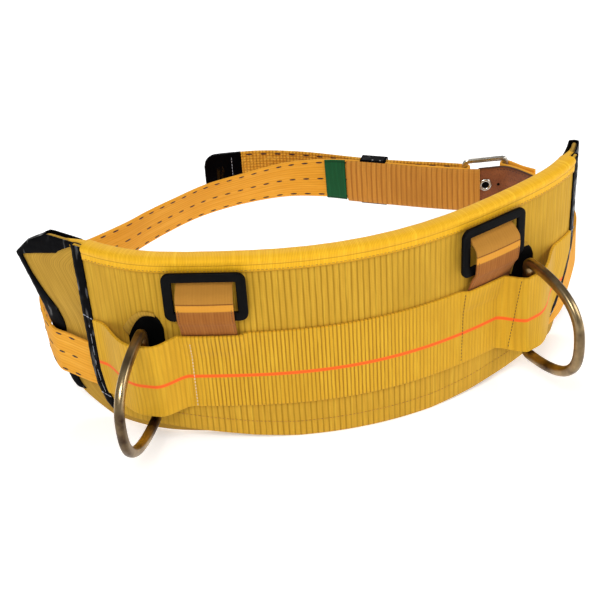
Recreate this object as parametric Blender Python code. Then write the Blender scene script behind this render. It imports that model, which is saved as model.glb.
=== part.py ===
# Work positioning belt: a tall webbing back pad with two D-rings, closed by a waist strap.
# +Z is up and the pad's outer face looks towards -Y. The origin is the centre of the waist opening.
# Every size below is in millimetres, and MM turns it into metres where a mesh is made.
# Heights are counted from the pad's lower edge: build() then lowers all to the waist's centre.

import bpy
import bmesh
import numpy as np
from math import atan2, cos, pi, radians, sin, tan
from mathutils import Matrix, Vector

MM = 0.001
GAP = 0.3                      # running gap between neighbouring pieces

WAIST_HEIGHT = 80.0            # centre of the waist opening above the pad's lower edge

# The pad
PAD_MIDDLE = (-4.0, -166.0)    # where the middle of the pad's outer face stands in plan
PAD_HEIGHT = 186.0
PAD_LEAN = 0.04                # the wall's top stands out this much per unit of height
PANEL_THICK = 2.6
EDGE_TAPE = 1.4                # thickness of the bindings
PANEL_LIP = 9.0                # how far an end binding reaches over the panel
CAP_LIP = 20.0                 # the same on the comfort pad
TOP_LIP = 12.0                 # height of the top binding's front lip
PAD_THICK = 5.6
PAD_SEAT_LOW = -9.6            # the comfort pad's front face where the strap runs
PAD_SEAT_HIGH = -4.6           # the same above the strap

# Webbing
WEB_HEIGHT = 76.0
WEB_BOTTOM = 37.5
WEB_THICK = 2.4
STRAP_HEIGHT = 44.5
STRAP_THICK = 2.4
STRAP_SEAT = -5.9              # middle of the strap inside the pad, from the outer face
TURN_RADIUS = 4.6              # fold of the strap round a buckle bar
LOOP_WIDTH = 47.0
LOOP_THICK = 1.8

# Metal fittings
D_HALF_BAR = 47.5              # half the straight bar, on the section's middle line
D_REACH = 73.0
D_ROUNDNESS = 2.6              # exponent of the bow, 2 is an ellipse
D_SECTION = (9.0, 6.5)         # in the ring's plane, and across it
D_MIDDLE_Z = 77.5
RING_SIZE = (70.0, 47.0)
RING_BAR = 8.5
RING_THICK = 3.6
RING_BOTTOM = 130.0
RING_SEAT = 6.3
BUCKLE_SIZE = (46.0, 60.0)
BUCKLE_BAR = 5.0
BUCKLE_THICK = 4.0
EYELET_RADII = (6.6, 3.4)

# Heading of the wall in plan, by distance along the pad from its middle
# distance, degrees
WALL_HEADING = [
    (-360, -51), (-240, -51), (-225, -48), (-200, -38), (-173, -27), (-146, -22), (-92, -18),
    (-40, -10), (10, 0), (60, 10), (112, 18), (166, 22), (193, 27), (222, 38), (246, 50), (275, 63),
    (360, 70),
]
# Lower edge of the outer panel: distance, height. Its ends stand upright above the first and last.
PANEL_EDGE = [
    (-252, 62), (-249, 42), (-243, 26), (-236, 18), (-216, 15), (-180, 14), (-140, 8), (-104, 3),
    (-66, 0), (60, 0), (104, 3), (146, 8), (171, 12), (185, 21), (202, 34), (214, 46), (222, 57),
    (231, 71), (243, 95),
]
# Ends of the comfort pad: height, length to the left end, length to the right end
PAD_ENDS = [
    (0, 246, 229), (8, 265, 241), (16, 280, 250), (28, 290, 259), (45, 295, 264), (62, 297, 267),
    (84, 298, 270), (106, 301, 276), (128, 309, 284), (157, 322, 298), (172, 307, 286),
    (185, 284, 269),
]
# The two sides: place of each fitting along the pad, and how its D-ring hangs
SIDES = {
    "left": {"ring": -134.0, "d_ring": -186.0, "swing": 0.0, "droop": 7.0, "stand": 14.0,
             "ramp": (46.0, 27.0), "plate": -186.0},
    "right": {"ring": 120.0, "d_ring": 153.0, "swing": -8.0, "droop": 1.0, "stand": 16.5,
              "ramp": (20.0, 50.0), "plate": 158.5},
}
# Webbing loop over a ring's lower bar, from top to bottom: height, stand-off
LOOP_FOLD = [
    (172.5, 1.2), (168, 1.3), (164, 3.0), (160.5, 7.0), (157.5, 10.8), (154.5, 12.9), (150, 13.6),
    (143, 13.4), (136, 12.8), (132, 12.2), (129.4, 10.9), (127, 9.1), (121, 6.1), (114.5, 3.4),
    (110, 1.9), (103, 1.25),
]
# Strap from the left end of the pad to the buckle: x, y and height of its lower edge, and
# how far its upper edge leans out of the loop
STRAP_BACK = [
    (-251, -10, 45, 3), (-250, 12, 51, 3), (-241, 46, 55, 1), (-219, 76, 57.5, -3),
    (-190, 97, 56, -8), (-157, 113, 58, -11), (-136, 128, 58, -13), (-108, 145, 58, -15),
    (-66, 164, 58, -16), (-20, 172, 58, -16), (24, 169, 58, -11), (62, 152, 58, -5),
    (86, 135, 58, -1), (112, 117, 58, 0), (141, 97, 58, 0), (158, 86, 58, 0),
]
# Free end of the strap from the buckle to its tip
STRAP_TAIL = [
    (158, 96, 58, 0), (138, 107, 58, 0), (112, 123, 58, 0), (84, 143, 58, 0), (44, 170, 58, -2),
    (8, 187, 59, -2), (-22, 196, 59, -2), (-51, 199, 60, -2),
]
TIP_LENGTH = 37.0
# Strap from the buckle to the right end of the pad
STRAP_SIDE = [
    (231, 50, 57, 0), (243, 28, 54, 0), (251, 0, 46, 0), (254, -24, 38, 0),
]
# Doubled end of the strap behind the buckle
STRAP_DOUBLED = [
    (243, 44, 57, 0), (235, 55, 57, 0), (229, 64, 58, 0),
]
BUCKLE_PLACE = (202.0, 72.0)
BUCKLE_HEADING = -12.0
BUCKLE_Z = 80.0
SLEEVE_X = (82.0, 191.0)       # stretch of the strap's back under the ribbed sleeve
TAG_X = (63.0, 80.5)
KEEPER_X = (93.0, 114.0)
KEEPER_WALL = 1.5
KEEPER_DEPTH = 9.6             # from the strap's middle to the keeper's outer wall
# Leather tab: its lead-in before the buckle, then it lines the strap down to this y
LEATHER_LEAD = [
    (193.5, 69.6, 58, 0), (206, 67, 58, 0), (215, 65, 58, 0),
]
LEATHER_END_Y = 6.0
LEATHER_THICK = 2.2
EYELET_Z = 84.0

# Colour, roughness, metallic
FINISHES = {
    "panel_webbing": ((0.58, 0.35, 0.035), 0.85, 0.0),
    "pad_fabric": ((0.48, 0.28, 0.045), 0.8, 0.0),
    "bright_binding": ((0.93, 0.55, 0.02), 0.6, 0.0),
    "black_vinyl": ((0.006, 0.007, 0.012), 0.25, 0.0),
    "wide_webbing": ((0.72, 0.40, 0.03), 0.7, 0.0),
    "tan_webbing": ((0.39, 0.14, 0.03), 0.75, 0.0),
    "strap_webbing": ((0.78, 0.36, 0.03), 0.7, 0.0),
    "bronzed_steel": ((0.22, 0.14, 0.09), 0.3, 1.0),
    "black_steel": ((0.01, 0.011, 0.012), 0.35, 0.6),
    "bright_steel": ((0.6, 0.58, 0.52), 0.2, 1.0),
    "green_label": ((0.0, 0.08, 0.03), 0.6, 0.0),
    "brown_leather": ((0.24, 0.07, 0.02), 0.5, 0.0),
}


def clear_scene():
    for item in list(bpy.data.objects):
        bpy.data.objects.remove(item, do_unlink=True)


def material(name):
    colour, roughness, metallic = FINISHES[name]
    made = bpy.data.materials.get(name) or bpy.data.materials.new(name)
    made.use_nodes = True
    shader = made.node_tree.nodes["Principled BSDF"]
    shader.inputs["Base Color"].default_value = (*colour, 1.0)
    shader.inputs["Roughness"].default_value = roughness
    shader.inputs["Metallic"].default_value = metallic
    return made


def finish(name, bm, finish_name, smooth_angle=35):
    """Turn a bmesh into a named object with outward faces and its own material."""
    bmesh.ops.recalc_face_normals(bm, faces=bm.faces[:])
    if bm.calc_volume(signed=True) < 0:
        bmesh.ops.reverse_faces(bm, faces=bm.faces[:])
    mesh = bpy.data.meshes.new(name)
    bm.to_mesh(mesh)
    bm.free()
    mesh.shade_smooth()
    mesh.set_sharp_from_angle(angle=radians(smooth_angle))
    made = bpy.data.objects.new(name, mesh)
    made.data.materials.append(material(finish_name))
    bpy.context.collection.objects.link(made)
    return made


# The wall that every piece of the pad follows

WALL_STEP = 1.0


def wall_line():
    """Plan points of the wall, a millimetre apart, from its heading table."""
    rows = np.array(WALL_HEADING, float)
    along = np.arange(rows[0, 0], rows[-1, 0] + WALL_STEP, WALL_STEP)
    heading = np.radians(np.interp(along, rows[:, 0], rows[:, 1]))
    x = np.concatenate([[0], np.cumsum(np.cos(heading[:-1]) * WALL_STEP)])
    y = np.concatenate([[0], np.cumsum(np.sin(heading[:-1]) * WALL_STEP)])
    middle = int(np.argmin(np.abs(along)))
    return along, x - x[middle] + PAD_MIDDLE[0], y - y[middle] + PAD_MIDDLE[1], heading


ALONG, WALL_X, WALL_Y, WALL_TURN = wall_line()


def heading_at(along):
    return float(np.interp(along, ALONG, WALL_TURN))


def wall(along, height, stand):
    """A point on the pad: distance along it, height, and how far it stands out of the face."""
    turn = heading_at(along)
    out = stand - PAD_LEAN * (PAD_HEIGHT - height)
    x = float(np.interp(along, ALONG, WALL_X)) + sin(turn) * out
    y = float(np.interp(along, ALONG, WALL_Y)) - cos(turn) * out
    return Vector((x, y, height))


def from_table(rows, key, column=1):
    return float(np.interp(key, [row[0] for row in rows], [row[column] for row in rows]))


def ease(share):
    """Smooth step from 0 to 1."""
    share = min(max(share, 0.0), 1.0)
    return share * share * (3.0 - 2.0 * share)


def spaced(start, end, count):
    return [start + (end - start) * step / count for step in range(count + 1)]


# Makers of solids

def sheet_solid(name, columns, rows, front, back, finish_name):
    """A closed wall between two skins, each a grid of columns by rows."""
    bm = bmesh.new()
    bmesh.ops.create_grid(bm, x_segments=columns, y_segments=rows, size=0.5)
    copied = bmesh.ops.duplicate(bm, geom=bm.verts[:] + bm.edges[:] + bm.faces[:])["geom"]
    behind = {item for item in copied if isinstance(item, bmesh.types.BMVert)}
    bmesh.ops.reverse_faces(bm, faces=[f for f in copied if isinstance(f, bmesh.types.BMFace)])
    skins = ({}, {})
    for vert in bm.verts:
        cell = (round((vert.co.x + 0.5) * columns), round((vert.co.y + 0.5) * rows))
        skins[vert in behind][cell] = vert
    rim = [(i, 0) for i in range(columns)] + [(columns, j) for j in range(rows)]
    rim += [(i, rows) for i in range(columns, 0, -1)] + [(0, j) for j in range(rows, 0, -1)]
    for here, there in zip(rim, rim[1:] + rim[:1]):
        bm.faces.new((skins[0][here], skins[1][here], skins[1][there], skins[0][there]))
    for skin, place in zip(skins, (front, back)):
        for (i, j), vert in skin.items():
            vert.co = place(i, j) * MM
    return finish(name, bm, finish_name)


def swept_solid(name, loops, finish_name):
    """A closed bar through equal loops of points, capped at both ends."""
    bm = bmesh.new()
    rings = [[bm.verts.new(point * MM) for point in loop] for loop in loops]
    count = len(rings[0])
    for near, far in zip(rings, rings[1:]):
        for k in range(count):
            after = (k + 1) % count
            bm.faces.new((near[k], near[after], far[after], far[k]))
    bm.faces.new(rings[0])
    bm.faces.new(rings[-1])
    return finish(name, bm, finish_name)


def flat_ring(name, outer, inner, thickness, chamfer, finish_name):
    """A flat frame between two outlines in its own XY plane, with its edges taken off."""
    bm = bmesh.new()
    loops = [[bm.verts.new((x * MM, y * MM, -thickness * MM / 2)) for x, y in outline]
             for outline in (outer, inner)]
    count = len(outer)
    for k in range(count):
        after = (k + 1) % count
        bm.faces.new((loops[0][k], loops[0][after], loops[1][after], loops[1][k]))
    lower = bm.faces[:]
    raised = bmesh.ops.extrude_face_region(bm, geom=lower, use_keep_orig=True)["geom"]
    lifted = [item for item in raised if isinstance(item, bmesh.types.BMVert)]
    bmesh.ops.translate(bm, verts=lifted, vec=(0, 0, thickness * MM))
    bmesh.ops.recalc_face_normals(bm, faces=bm.faces[:])
    if chamfer:
        corners = [edge for edge in bm.edges if edge.calc_face_angle(0.0) > radians(60)
                   and abs(edge.verts[0].co.z - edge.verts[1].co.z) < thickness * MM / 2]
        bmesh.ops.bevel(bm, geom=corners, offset=chamfer * MM, segments=1, profile=0.5,
                        affect="EDGES", clamp_overlap=True, material=-1)
    return finish(name, bm, finish_name)


def smooth_line(points, step):
    """Points a step apart on a smooth curve through the given ones (Catmull-Rom)."""
    rows = np.array(points, float)
    rows = np.vstack([2 * rows[0] - rows[1], rows, 2 * rows[-1] - rows[-2]])
    fine = []
    for k in range(1, len(rows) - 2):
        before, here, after, later = rows[k - 1:k + 3]
        for t in np.linspace(0, 1, 24, endpoint=False):
            fine.append(0.5 * (2 * here + (after - before) * t
                               + (2 * before - 5 * here + 4 * after - later) * t ** 2
                               + (3 * here - before - 3 * after + later) * t ** 3))
    fine.append(rows[-2])
    fine = np.array(fine)
    run = np.concatenate([[0], np.cumsum(np.linalg.norm(np.diff(fine[:, :2], axis=0), axis=1))])
    marks = np.linspace(0, run[-1], max(2, int(round(run[-1] / step)) + 1))
    return [tuple(np.interp(mark, run, fine[:, axis]) for axis in range(4)) for mark in marks]


def line_normals(path):
    """Unit plan normals of a path, to the left of its direction."""
    plan = np.array(path, float)[:, :2]
    way = np.gradient(plan, axis=0)
    way /= np.linalg.norm(way, axis=1)[:, None]
    return np.stack([-way[:, 1], way[:, 0]], axis=1)


def run_of(path):
    plan = np.array(path, float)[:, :2]
    return np.concatenate([[0], np.cumsum(np.linalg.norm(np.diff(plan, axis=0), axis=1))])


def strip(name, path, height, thick, shift, finish_name, end_round=0.0):
    """A webbing strip on edge along a path of x, y, lower edge and lean."""
    side = line_normals(path)
    run = run_of(path)

    def skin(offset):
        def place(i, j):
            x, y, low, lean = path[i]
            cut = 0.0
            if end_round:
                into = max(0.0, 1.0 - (run[-1] - run[i]) / end_round)
                cut = end_round * (1.0 - (1.0 - into ** 2) ** 0.5)
            share = (cut + (height - 2 * cut) * j) / STRAP_HEIGHT
            away = shift + offset + lean * share
            rise = share * (STRAP_HEIGHT ** 2 - lean ** 2) ** 0.5
            return Vector((x + side[i][0] * away, y + side[i][1] * away, low + rise))
        return place

    return sheet_solid(name, len(path) - 1, 1, skin(thick / 2), skin(-thick / 2), finish_name)


# The pad's pieces

def panel_bottom(along):
    return from_table(PANEL_EDGE, along)


def panel_end(side, height):
    """Where the panel stops at a height, along the wall."""
    rows = PANEL_EDGE[:6] if side < 0 else PANEL_EDGE[-7:]
    return from_table(sorted((high, along) for along, high in rows), height)


def pad_end(side, height):
    return side * from_table(PAD_ENDS, height, 1 if side < 0 else 2)


def outer_panel():
    corners = {row[0] for row in PANEL_EDGE}
    stations = sorted(corners | {along for along in range(-230, 241, 11)
                                 if min(abs(along - corner) for corner in corners) > 5})

    def skin(stand):
        def place(i, j):
            low = panel_bottom(stations[i])
            return wall(stations[i], low + (PAD_HEIGHT - low) * j, stand)
        return place

    sheet_solid("outer_panel", len(stations) - 1, 1, skin(0), skin(-PANEL_THICK), "panel_webbing")


def pad_seat(height):
    """Front face of the comfort pad: it draws up to the panel above the strap."""
    return PAD_SEAT_LOW + (PAD_SEAT_HIGH - PAD_SEAT_LOW) * ease((height - 86.0) / 42.0)


def comfort_pad():
    ends = [0, 0.012, 0.036, 0.058, 0.085]
    shares = ends + [k / 32 for k in range(3, 30)] + [1 - share for share in ends[::-1]]
    levels = sorted({row[0] for row in PAD_ENDS} | {96, 117, 142})

    def skin(side):
        def place(i, j):
            height = levels[j]
            left, right = pad_end(-1, height), pad_end(1, height)
            along = left + (right - left) * shares[i]
            return wall(along, height, pad_seat(height) - PAD_THICK * side)
        return place

    sheet_solid("comfort_pad", len(shares) - 1, len(levels) - 1, skin(0), skin(1), "pad_fabric")


def top_binding():
    left = panel_end(-1, PAD_HEIGHT) + PANEL_LIP + 2 * GAP
    right = panel_end(1, PAD_HEIGHT) - PANEL_LIP - 2 * GAP
    front, rear = GAP + 0.1, PAD_SEAT_HIGH - PAD_THICK - GAP - 1.0
    top, low = PAD_HEIGHT + GAP, PAD_HEIGHT - TOP_LIP
    outline = [
        (front, low), (front + EDGE_TAPE, low), (front + EDGE_TAPE, top - 1.2),
        (front - 1.0, top + EDGE_TAPE), (rear + 1.0, top + EDGE_TAPE), (rear - EDGE_TAPE, top - 1.2),
        (rear - EDGE_TAPE, low), (rear, low), (rear, top), (front, top),
    ]
    loops = [[wall(along, height, stand) for stand, height in outline]
             for along in spaced(left, right, 46)]
    swept_solid("top_binding", loops, "bright_binding")


def end_cover(name, side, levels, end_at, lip, faces, thick):
    """Vinyl folded over an upright end: front lip, edge and back lip."""
    loops = []
    for height in levels:
        end = end_at(side, height)
        front, rear = faces(height)
        edge, half = 2.8 * GAP, -lip / 2
        section = [
            (-lip, front + GAP), (-lip, front + GAP + thick), (half, front + GAP + thick),
            (edge, front + GAP + thick), (edge + thick, front + GAP), (edge + thick, rear - GAP),
            (edge, rear - GAP - thick), (half, rear - GAP - thick), (-lip, rear - GAP - thick),
            (-lip, rear - GAP), (half, rear - GAP), (edge, rear - GAP), (edge, front + GAP),
            (half, front + GAP),
        ]
        loops.append([wall(end + side * a, height, stand) for a, stand in section])
    swept_solid(name, loops, "black_vinyl")


def end_bindings():
    def panel_faces(height):
        return 0.15, -PANEL_THICK - 0.1

    def pad_faces(height):
        return pad_seat(height) + 0.45, pad_seat(height) - PAD_THICK - 0.45

    pad_levels = sorted({row[0] for row in PAD_ENDS if row[0] > 20} | {96, 117, 142})
    for name, side, levels in (("left", -1, [20, 26, 42, 62, 100, 143, 185]),
                               ("right", 1, [24, 35, 46, 57, 71, 95, 143, 185])):
        end_cover(name + "_panel_binding", side, levels, panel_end, PANEL_LIP, panel_faces, 1.2)
        end_cover(name + "_pad_cap", side, pad_levels, pad_end, CAP_LIP, pad_faces, 1.2)


def web_stand(along, height):
    """Inner face of the wide web: flat on the panel, lifted over the loops and D-ring bars."""
    lift = GAP
    for side in SIDES.values():
        off_loop = abs(along - side["ring"]) - LOOP_WIDTH / 2
        near_top = ease((height - 98.0) / 14.0)
        lift = max(lift, GAP + (2.1 + 2.6 * near_top) * ease(1.0 - off_loop / 10.0) * (height > 96))
        away = along - side["d_ring"]
        ramp = side["ramp"][0 if away < 0 else 1]
        slope = tan(radians(side["droop"])) - PAD_LEAN
        corner = 1.4 * (abs(height - D_MIDDLE_Z) / 38.0) ** 6
        crest = side["stand"] + (height - D_MIDDLE_Z) * slope + D_SECTION[0] / 2 + 0.75 + corner
        lift = max(lift, crest * ease(1.0 - (abs(away) - 5.5) / ramp))
    return lift


def wide_web():
    core = sorted(set(range(-214, 190, 7)) | {-192, -186, -180, 147, 153, 159})
    levels = [0, 0.3, 0.6, 0.8, 0.92, 1]
    margin = PANEL_LIP + 2 * GAP

    def place_along(i, height):
        left = panel_end(-1, height) + margin
        right = panel_end(1, height) - margin
        if i < 3:
            return left + (core[0] - left) * i / 3
        if i >= 3 + len(core):
            return core[-1] + (right - core[-1]) * (i - 2 - len(core)) / 6
        return core[i - 3]

    def skin(extra):
        def place(i, j):
            height = WEB_BOTTOM + WEB_HEIGHT * levels[j]
            along = place_along(i, height)
            return wall(along, height, web_stand(along, height) + extra)
        return place

    sheet_solid("wide_web", len(core) + 8, len(levels) - 1, skin(WEB_THICK), skin(0), "wide_webbing")


def wear_plates():
    half_width, low, high, crown, thick = 11.5, 42.0, 118.0, 14.0, 1.6

    def skin(middle, stand):
        def place(i, j):
            away = -half_width + 2 * half_width * i / 8
            top = high + crown * (1.0 - (away / half_width) ** 2) ** 0.5
            return wall(middle + away, low + (top - low) * j / 2, stand)
        return place

    for side, spec in SIDES.items():
        sheet_solid(side + "_wear_plate", 8, 2, skin(spec["plate"], GAP + thick),
                    skin(spec["plate"], GAP), "black_vinyl")


# Fittings on the pad

def hinge_frame(origin, along_x, along_y):
    """World matrix of a fitting from its origin and two of its own axes."""
    x, y = along_x.normalized(), along_y.normalized()
    frame = Matrix((x, y, x.cross(y))).transposed().to_4x4()
    frame.translation = origin * MM
    return frame


def d_ring_frame(spec):
    turn = heading_at(spec["d_ring"]) - pi / 2 + radians(spec["swing"])
    level = Vector((cos(turn), sin(turn), 0))
    droop = radians(spec["droop"])
    reach = level * cos(droop) - Vector((0, 0, 1)) * sin(droop)
    bar = level * sin(droop) + Vector((0, 0, 1)) * cos(droop)
    return hinge_frame(wall(spec["d_ring"], D_MIDDLE_Z, spec["stand"]), reach, bar)


def bow(reach, half, back, count):
    """Outline of a D: a bow with an even count of points, closed by the straight bar."""
    points = []
    for k in range(count):
        angle = -pi / 2 + pi * (k + 0.5) / count
        x = reach * abs(cos(angle)) ** (2 / D_ROUNDNESS)
        y = half * abs(sin(angle)) ** (2 / D_ROUNDNESS) * (1 if angle > 0 else -1)
        points.append((x, y))
    points.append((back, half - 3.0))
    points.append((back, -half + 3.0))
    return points


def d_rings():
    grow = D_SECTION[0] / 2
    outer = bow(D_REACH + grow, D_HALF_BAR + grow, -grow, 30)
    inner = bow(D_REACH - grow, D_HALF_BAR - grow, grow, 30)
    for side, spec in SIDES.items():
        ring = flat_ring(side + "_d_ring", outer, inner, D_SECTION[1], 1.5, "bronzed_steel")
        ring.matrix_world = d_ring_frame(spec)


def rounded_box(width, low, high, radius, steps=3):
    """Rectangle with round corners, from the lower right, anticlockwise."""
    points = []
    for corner, (x, y) in enumerate(((1, -1), (1, 1), (-1, 1), (-1, -1))):
        middle = (x * (width / 2 - radius), (high - radius) if y > 0 else (low + radius))
        for k in range(steps + 1):
            angle = -pi / 2 + corner * pi / 2 + pi / 2 * k / steps
            points.append((middle[0] + radius * cos(angle), middle[1] + radius * sin(angle)))
    return points


def accessory_rings():
    width, height = RING_SIZE
    low = -RING_BAR / 2
    outer = rounded_box(width, low, low + height, 6.5)
    inner = rounded_box(width - 2 * RING_BAR, -low, low + height - RING_BAR, 2.5)
    for side, spec in SIDES.items():
        ring = flat_ring(side + "_ring", outer, inner, RING_THICK, 0.8, "black_steel")
        turn = heading_at(spec["ring"])
        pivot = wall(spec["ring"], RING_BOTTOM + RING_BAR / 2, RING_SEAT)
        tangent = Vector((cos(turn), sin(turn), 0))
        lean = Vector((sin(turn) * PAD_LEAN, -cos(turn) * PAD_LEAN, 1))
        ring.matrix_world = hinge_frame(pivot, tangent, lean)


def ring_loops():
    line = np.array(LOOP_FOLD, float)
    way = np.gradient(line, axis=0)
    way /= np.linalg.norm(way, axis=1)[:, None]

    def skin(middle, offset):
        def place(i, j):
            k = len(LOOP_FOLD) - 1 - j
            height = line[k, 0] + way[k, 1] * offset
            stand = line[k, 1] - way[k, 0] * offset
            return wall(middle + LOOP_WIDTH * (i / 4 - 0.5), height, stand)
        return place

    for side, spec in SIDES.items():
        sheet_solid(side + "_ring_loop", 4, len(LOOP_FOLD) - 1, skin(spec["ring"], LOOP_THICK / 2),
                    skin(spec["ring"], -LOOP_THICK / 2), "tan_webbing")


# The waist strap and its buckle

def bar_spot(share):
    """Middle of a buckle bar in plan: -1 the left bar, +1 the right."""
    turn = radians(BUCKLE_HEADING)
    reach = share * (BUCKLE_SIZE[0] - BUCKLE_BAR) / 2
    return BUCKLE_PLACE[0] + reach * cos(turn), BUCKLE_PLACE[1] + reach * sin(turn)


def bar_turn(share, start, end, count=8):
    """The strap's fold round a bar, from one angle to another in degrees."""
    x, y = bar_spot(share)
    angles = [radians(BUCKLE_HEADING + a) for a in spaced(start, end, count)]
    return [(x + TURN_RADIUS * cos(a), y + TURN_RADIUS * sin(a), 58.0, 0.0) for a in angles]


def inside_pad():
    """The stretch between the panel and the comfort pad, from right to left."""
    rows = []
    for along in [276, 264, 252] + list(range(240, -270, -14)) + [-270, -284, -297]:
        beyond = max(0.0, abs(along) - 250)
        low = 36.0 - 16.0 * ease(along / 200.0) + 3.0 * ease((-along - 255.0) / 45.0)
        point = wall(along, low, STRAP_SEAT + min(0.6, beyond * 0.05))
        rows.append((point.x, point.y, low, STRAP_HEIGHT * PAD_LEAN))
    return rows


def strap_parts():
    """The whole strap: doubled end at the right bar, round the waist, over the left bar, free end."""
    hidden = inside_pad()
    right_turn = bar_turn(1, 50, 262)
    left_turn = bar_turn(-1, -90, 90)
    doubled = smooth_line(STRAP_DOUBLED + [right_turn[0]], 9)
    side = smooth_line([right_turn[-1]] + STRAP_SIDE + hidden[:2], 9)
    back = smooth_line(hidden[-2:] + STRAP_BACK + [left_turn[0]], 11)
    tail = smooth_line([left_turn[-1]] + STRAP_TAIL, 11)
    return {"doubled": doubled[:-1], "right_turn": right_turn, "side": side[1:-1],
            "inside": hidden[1:-1], "back": back[1:-1], "left_turn": left_turn, "tail": tail[1:]}


def strap_line():
    return [point for part in strap_parts().values() for point in part]


def waist_strap():
    path = strap_line()
    run = run_of(path)
    keep = int(np.argmin(np.abs(run - (run[-1] - TIP_LENGTH))))
    strip("waist_strap", path[:keep + 1], STRAP_HEIGHT, STRAP_THICK, 0, "strap_webbing")
    start, after = np.array(path[keep], float), np.array(path[keep + 1], float)
    start = start + (after - start) * 1.5 * GAP / np.linalg.norm(after - start)
    tip = smooth_line([tuple(start)] + path[keep + 1:], 4)
    strip("strap_tip", tip, STRAP_HEIGHT, STRAP_THICK + 1.0, 0, "black_vinyl", 9.0)


def back_span(span):
    """The stretch of the strap's back between two x, run on straight if it stops short."""
    bends = [point for point in strap_parts()["back"] if point[1] > 60]
    line = []
    for here, there in zip(bends, bends[1:]):
        line += [tuple(np.array(here) + (np.array(there) - here) * share) for share in (0, 0.34, 0.67)]
    line.append(bends[-1])
    inside = [point for point in line if span[0] <= point[0] <= span[1]]
    end = line[-1]
    if span[1] > end[0] + 4:
        inside += [(x, end[1] - (x - end[0]) * 0.42, end[2], 0.0) for x in
                   spaced(end[0] + 4, span[1], 3)]
    return inside


def strap_trim():
    inner_face = -STRAP_THICK / 2 - GAP
    strip("strap_sleeve", back_span(SLEEVE_X), STRAP_HEIGHT + 1.0, 1.6,
          inner_face - KEEPER_WALL - 6 * GAP - 0.8, "tan_webbing")
    strip("size_tag", back_span(TAG_X), STRAP_HEIGHT + 1.0, 1.2, inner_face - 0.9, "green_label")
    line = back_span(KEEPER_X)
    here, there = Vector(line[0][:2]), Vector(line[-1][:2])
    way = (there - here).normalized()
    out = Vector((-way.y, way.x, 0))
    inner, outer = inner_face - 3 * GAP, KEEPER_DEPTH - KEEPER_WALL
    low, high = 58.0 - 0.8, 58.0 + STRAP_HEIGHT + 0.8
    box = [(inner, low), (outer, low), (outer, high), (inner, high)]
    wall_box = [(inner - KEEPER_WALL, low - KEEPER_WALL), (outer + KEEPER_WALL, low - KEEPER_WALL),
                (outer + KEEPER_WALL, high + KEEPER_WALL), (inner - KEEPER_WALL, high + KEEPER_WALL)]
    keeper = flat_ring("strap_keeper", wall_box, box, (there - here).length, 0, "black_vinyl")
    middle = (here + there) / 2
    keeper.matrix_world = hinge_frame(Vector((middle.x, middle.y, 0)), out, Vector((0, 0, 1)))


def buckle():
    width, height = BUCKLE_SIZE
    outer = rounded_box(width, -height / 2, height / 2, 6.0)
    inner = rounded_box(width - 2 * BUCKLE_BAR, BUCKLE_BAR - height / 2, height / 2 - BUCKLE_BAR, 1.5)
    frame = flat_ring("buckle", outer, inner, BUCKLE_THICK, 0.8, "bright_steel")
    turn = radians(BUCKLE_HEADING)
    frame.matrix_world = hinge_frame(Vector((*BUCKLE_PLACE, BUCKLE_Z)),
                                     Vector((cos(turn), sin(turn), 0)), Vector((0, 0, 1)))


def leather_and_eyelet():
    """The tab lines the strap's inner face, with the eyelet by the buckle."""
    path = LEATHER_LEAD + [point for point in strap_parts()["side"] if point[1] > LEATHER_END_Y]
    inward = -(STRAP_THICK / 2 + GAP + LEATHER_THICK / 2)
    strip("leather_tab", path, STRAP_HEIGHT, LEATHER_THICK, inward, "brown_leather")
    here, there = Vector(path[0][:2]), Vector(path[1][:2])
    way = (there - here).normalized()
    away = Vector((way.y, -way.x))
    face = LEATHER_THICK / 2 - inward + GAP + 0.6 + 0.1
    spot = (here + there) / 2 + away * face
    rings = [[(radius * cos(2 * pi * k / 20), radius * sin(2 * pi * k / 20)) for k in range(20)]
             for radius in EYELET_RADII]
    eyelet = flat_ring("eyelet", rings[0], rings[1], 1.2, 0.3, "bright_steel")
    eyelet.matrix_world = hinge_frame(Vector((spot.x, spot.y, EYELET_Z)), way.to_3d(), Vector((0, 0, 1)))


def build():
    clear_scene()
    outer_panel()
    comfort_pad()
    top_binding()
    end_bindings()
    wide_web()
    wear_plates()
    d_rings()
    accessory_rings()
    ring_loops()
    waist_strap()
    strap_trim()
    buckle()
    leather_and_eyelet()
    for item in bpy.data.objects:
        item.location.z -= WAIST_HEIGHT * MM


build()
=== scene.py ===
from math import cos, pi, radians, sin, tan

import bmesh
import bpy
import numpy as np
from mathutils import Matrix, Vector


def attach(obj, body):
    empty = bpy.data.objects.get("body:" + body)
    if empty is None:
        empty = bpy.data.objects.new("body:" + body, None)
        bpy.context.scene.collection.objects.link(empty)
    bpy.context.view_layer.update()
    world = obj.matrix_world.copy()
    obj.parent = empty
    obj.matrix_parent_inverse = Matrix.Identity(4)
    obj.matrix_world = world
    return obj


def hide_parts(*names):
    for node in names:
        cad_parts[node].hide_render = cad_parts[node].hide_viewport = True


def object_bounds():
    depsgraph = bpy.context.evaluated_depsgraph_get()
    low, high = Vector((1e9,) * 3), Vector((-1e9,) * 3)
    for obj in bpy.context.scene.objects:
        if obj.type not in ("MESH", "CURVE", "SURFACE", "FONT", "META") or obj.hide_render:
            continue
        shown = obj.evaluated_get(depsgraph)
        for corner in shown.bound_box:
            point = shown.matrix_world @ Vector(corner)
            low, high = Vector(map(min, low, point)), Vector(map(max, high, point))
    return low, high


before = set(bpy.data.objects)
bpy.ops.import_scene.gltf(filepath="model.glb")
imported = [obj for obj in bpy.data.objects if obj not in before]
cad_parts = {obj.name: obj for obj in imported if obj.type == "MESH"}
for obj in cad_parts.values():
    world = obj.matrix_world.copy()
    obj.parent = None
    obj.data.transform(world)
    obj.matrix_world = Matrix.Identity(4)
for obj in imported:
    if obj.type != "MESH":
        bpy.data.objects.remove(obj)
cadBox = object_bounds()
scene = bpy.context.scene
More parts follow.
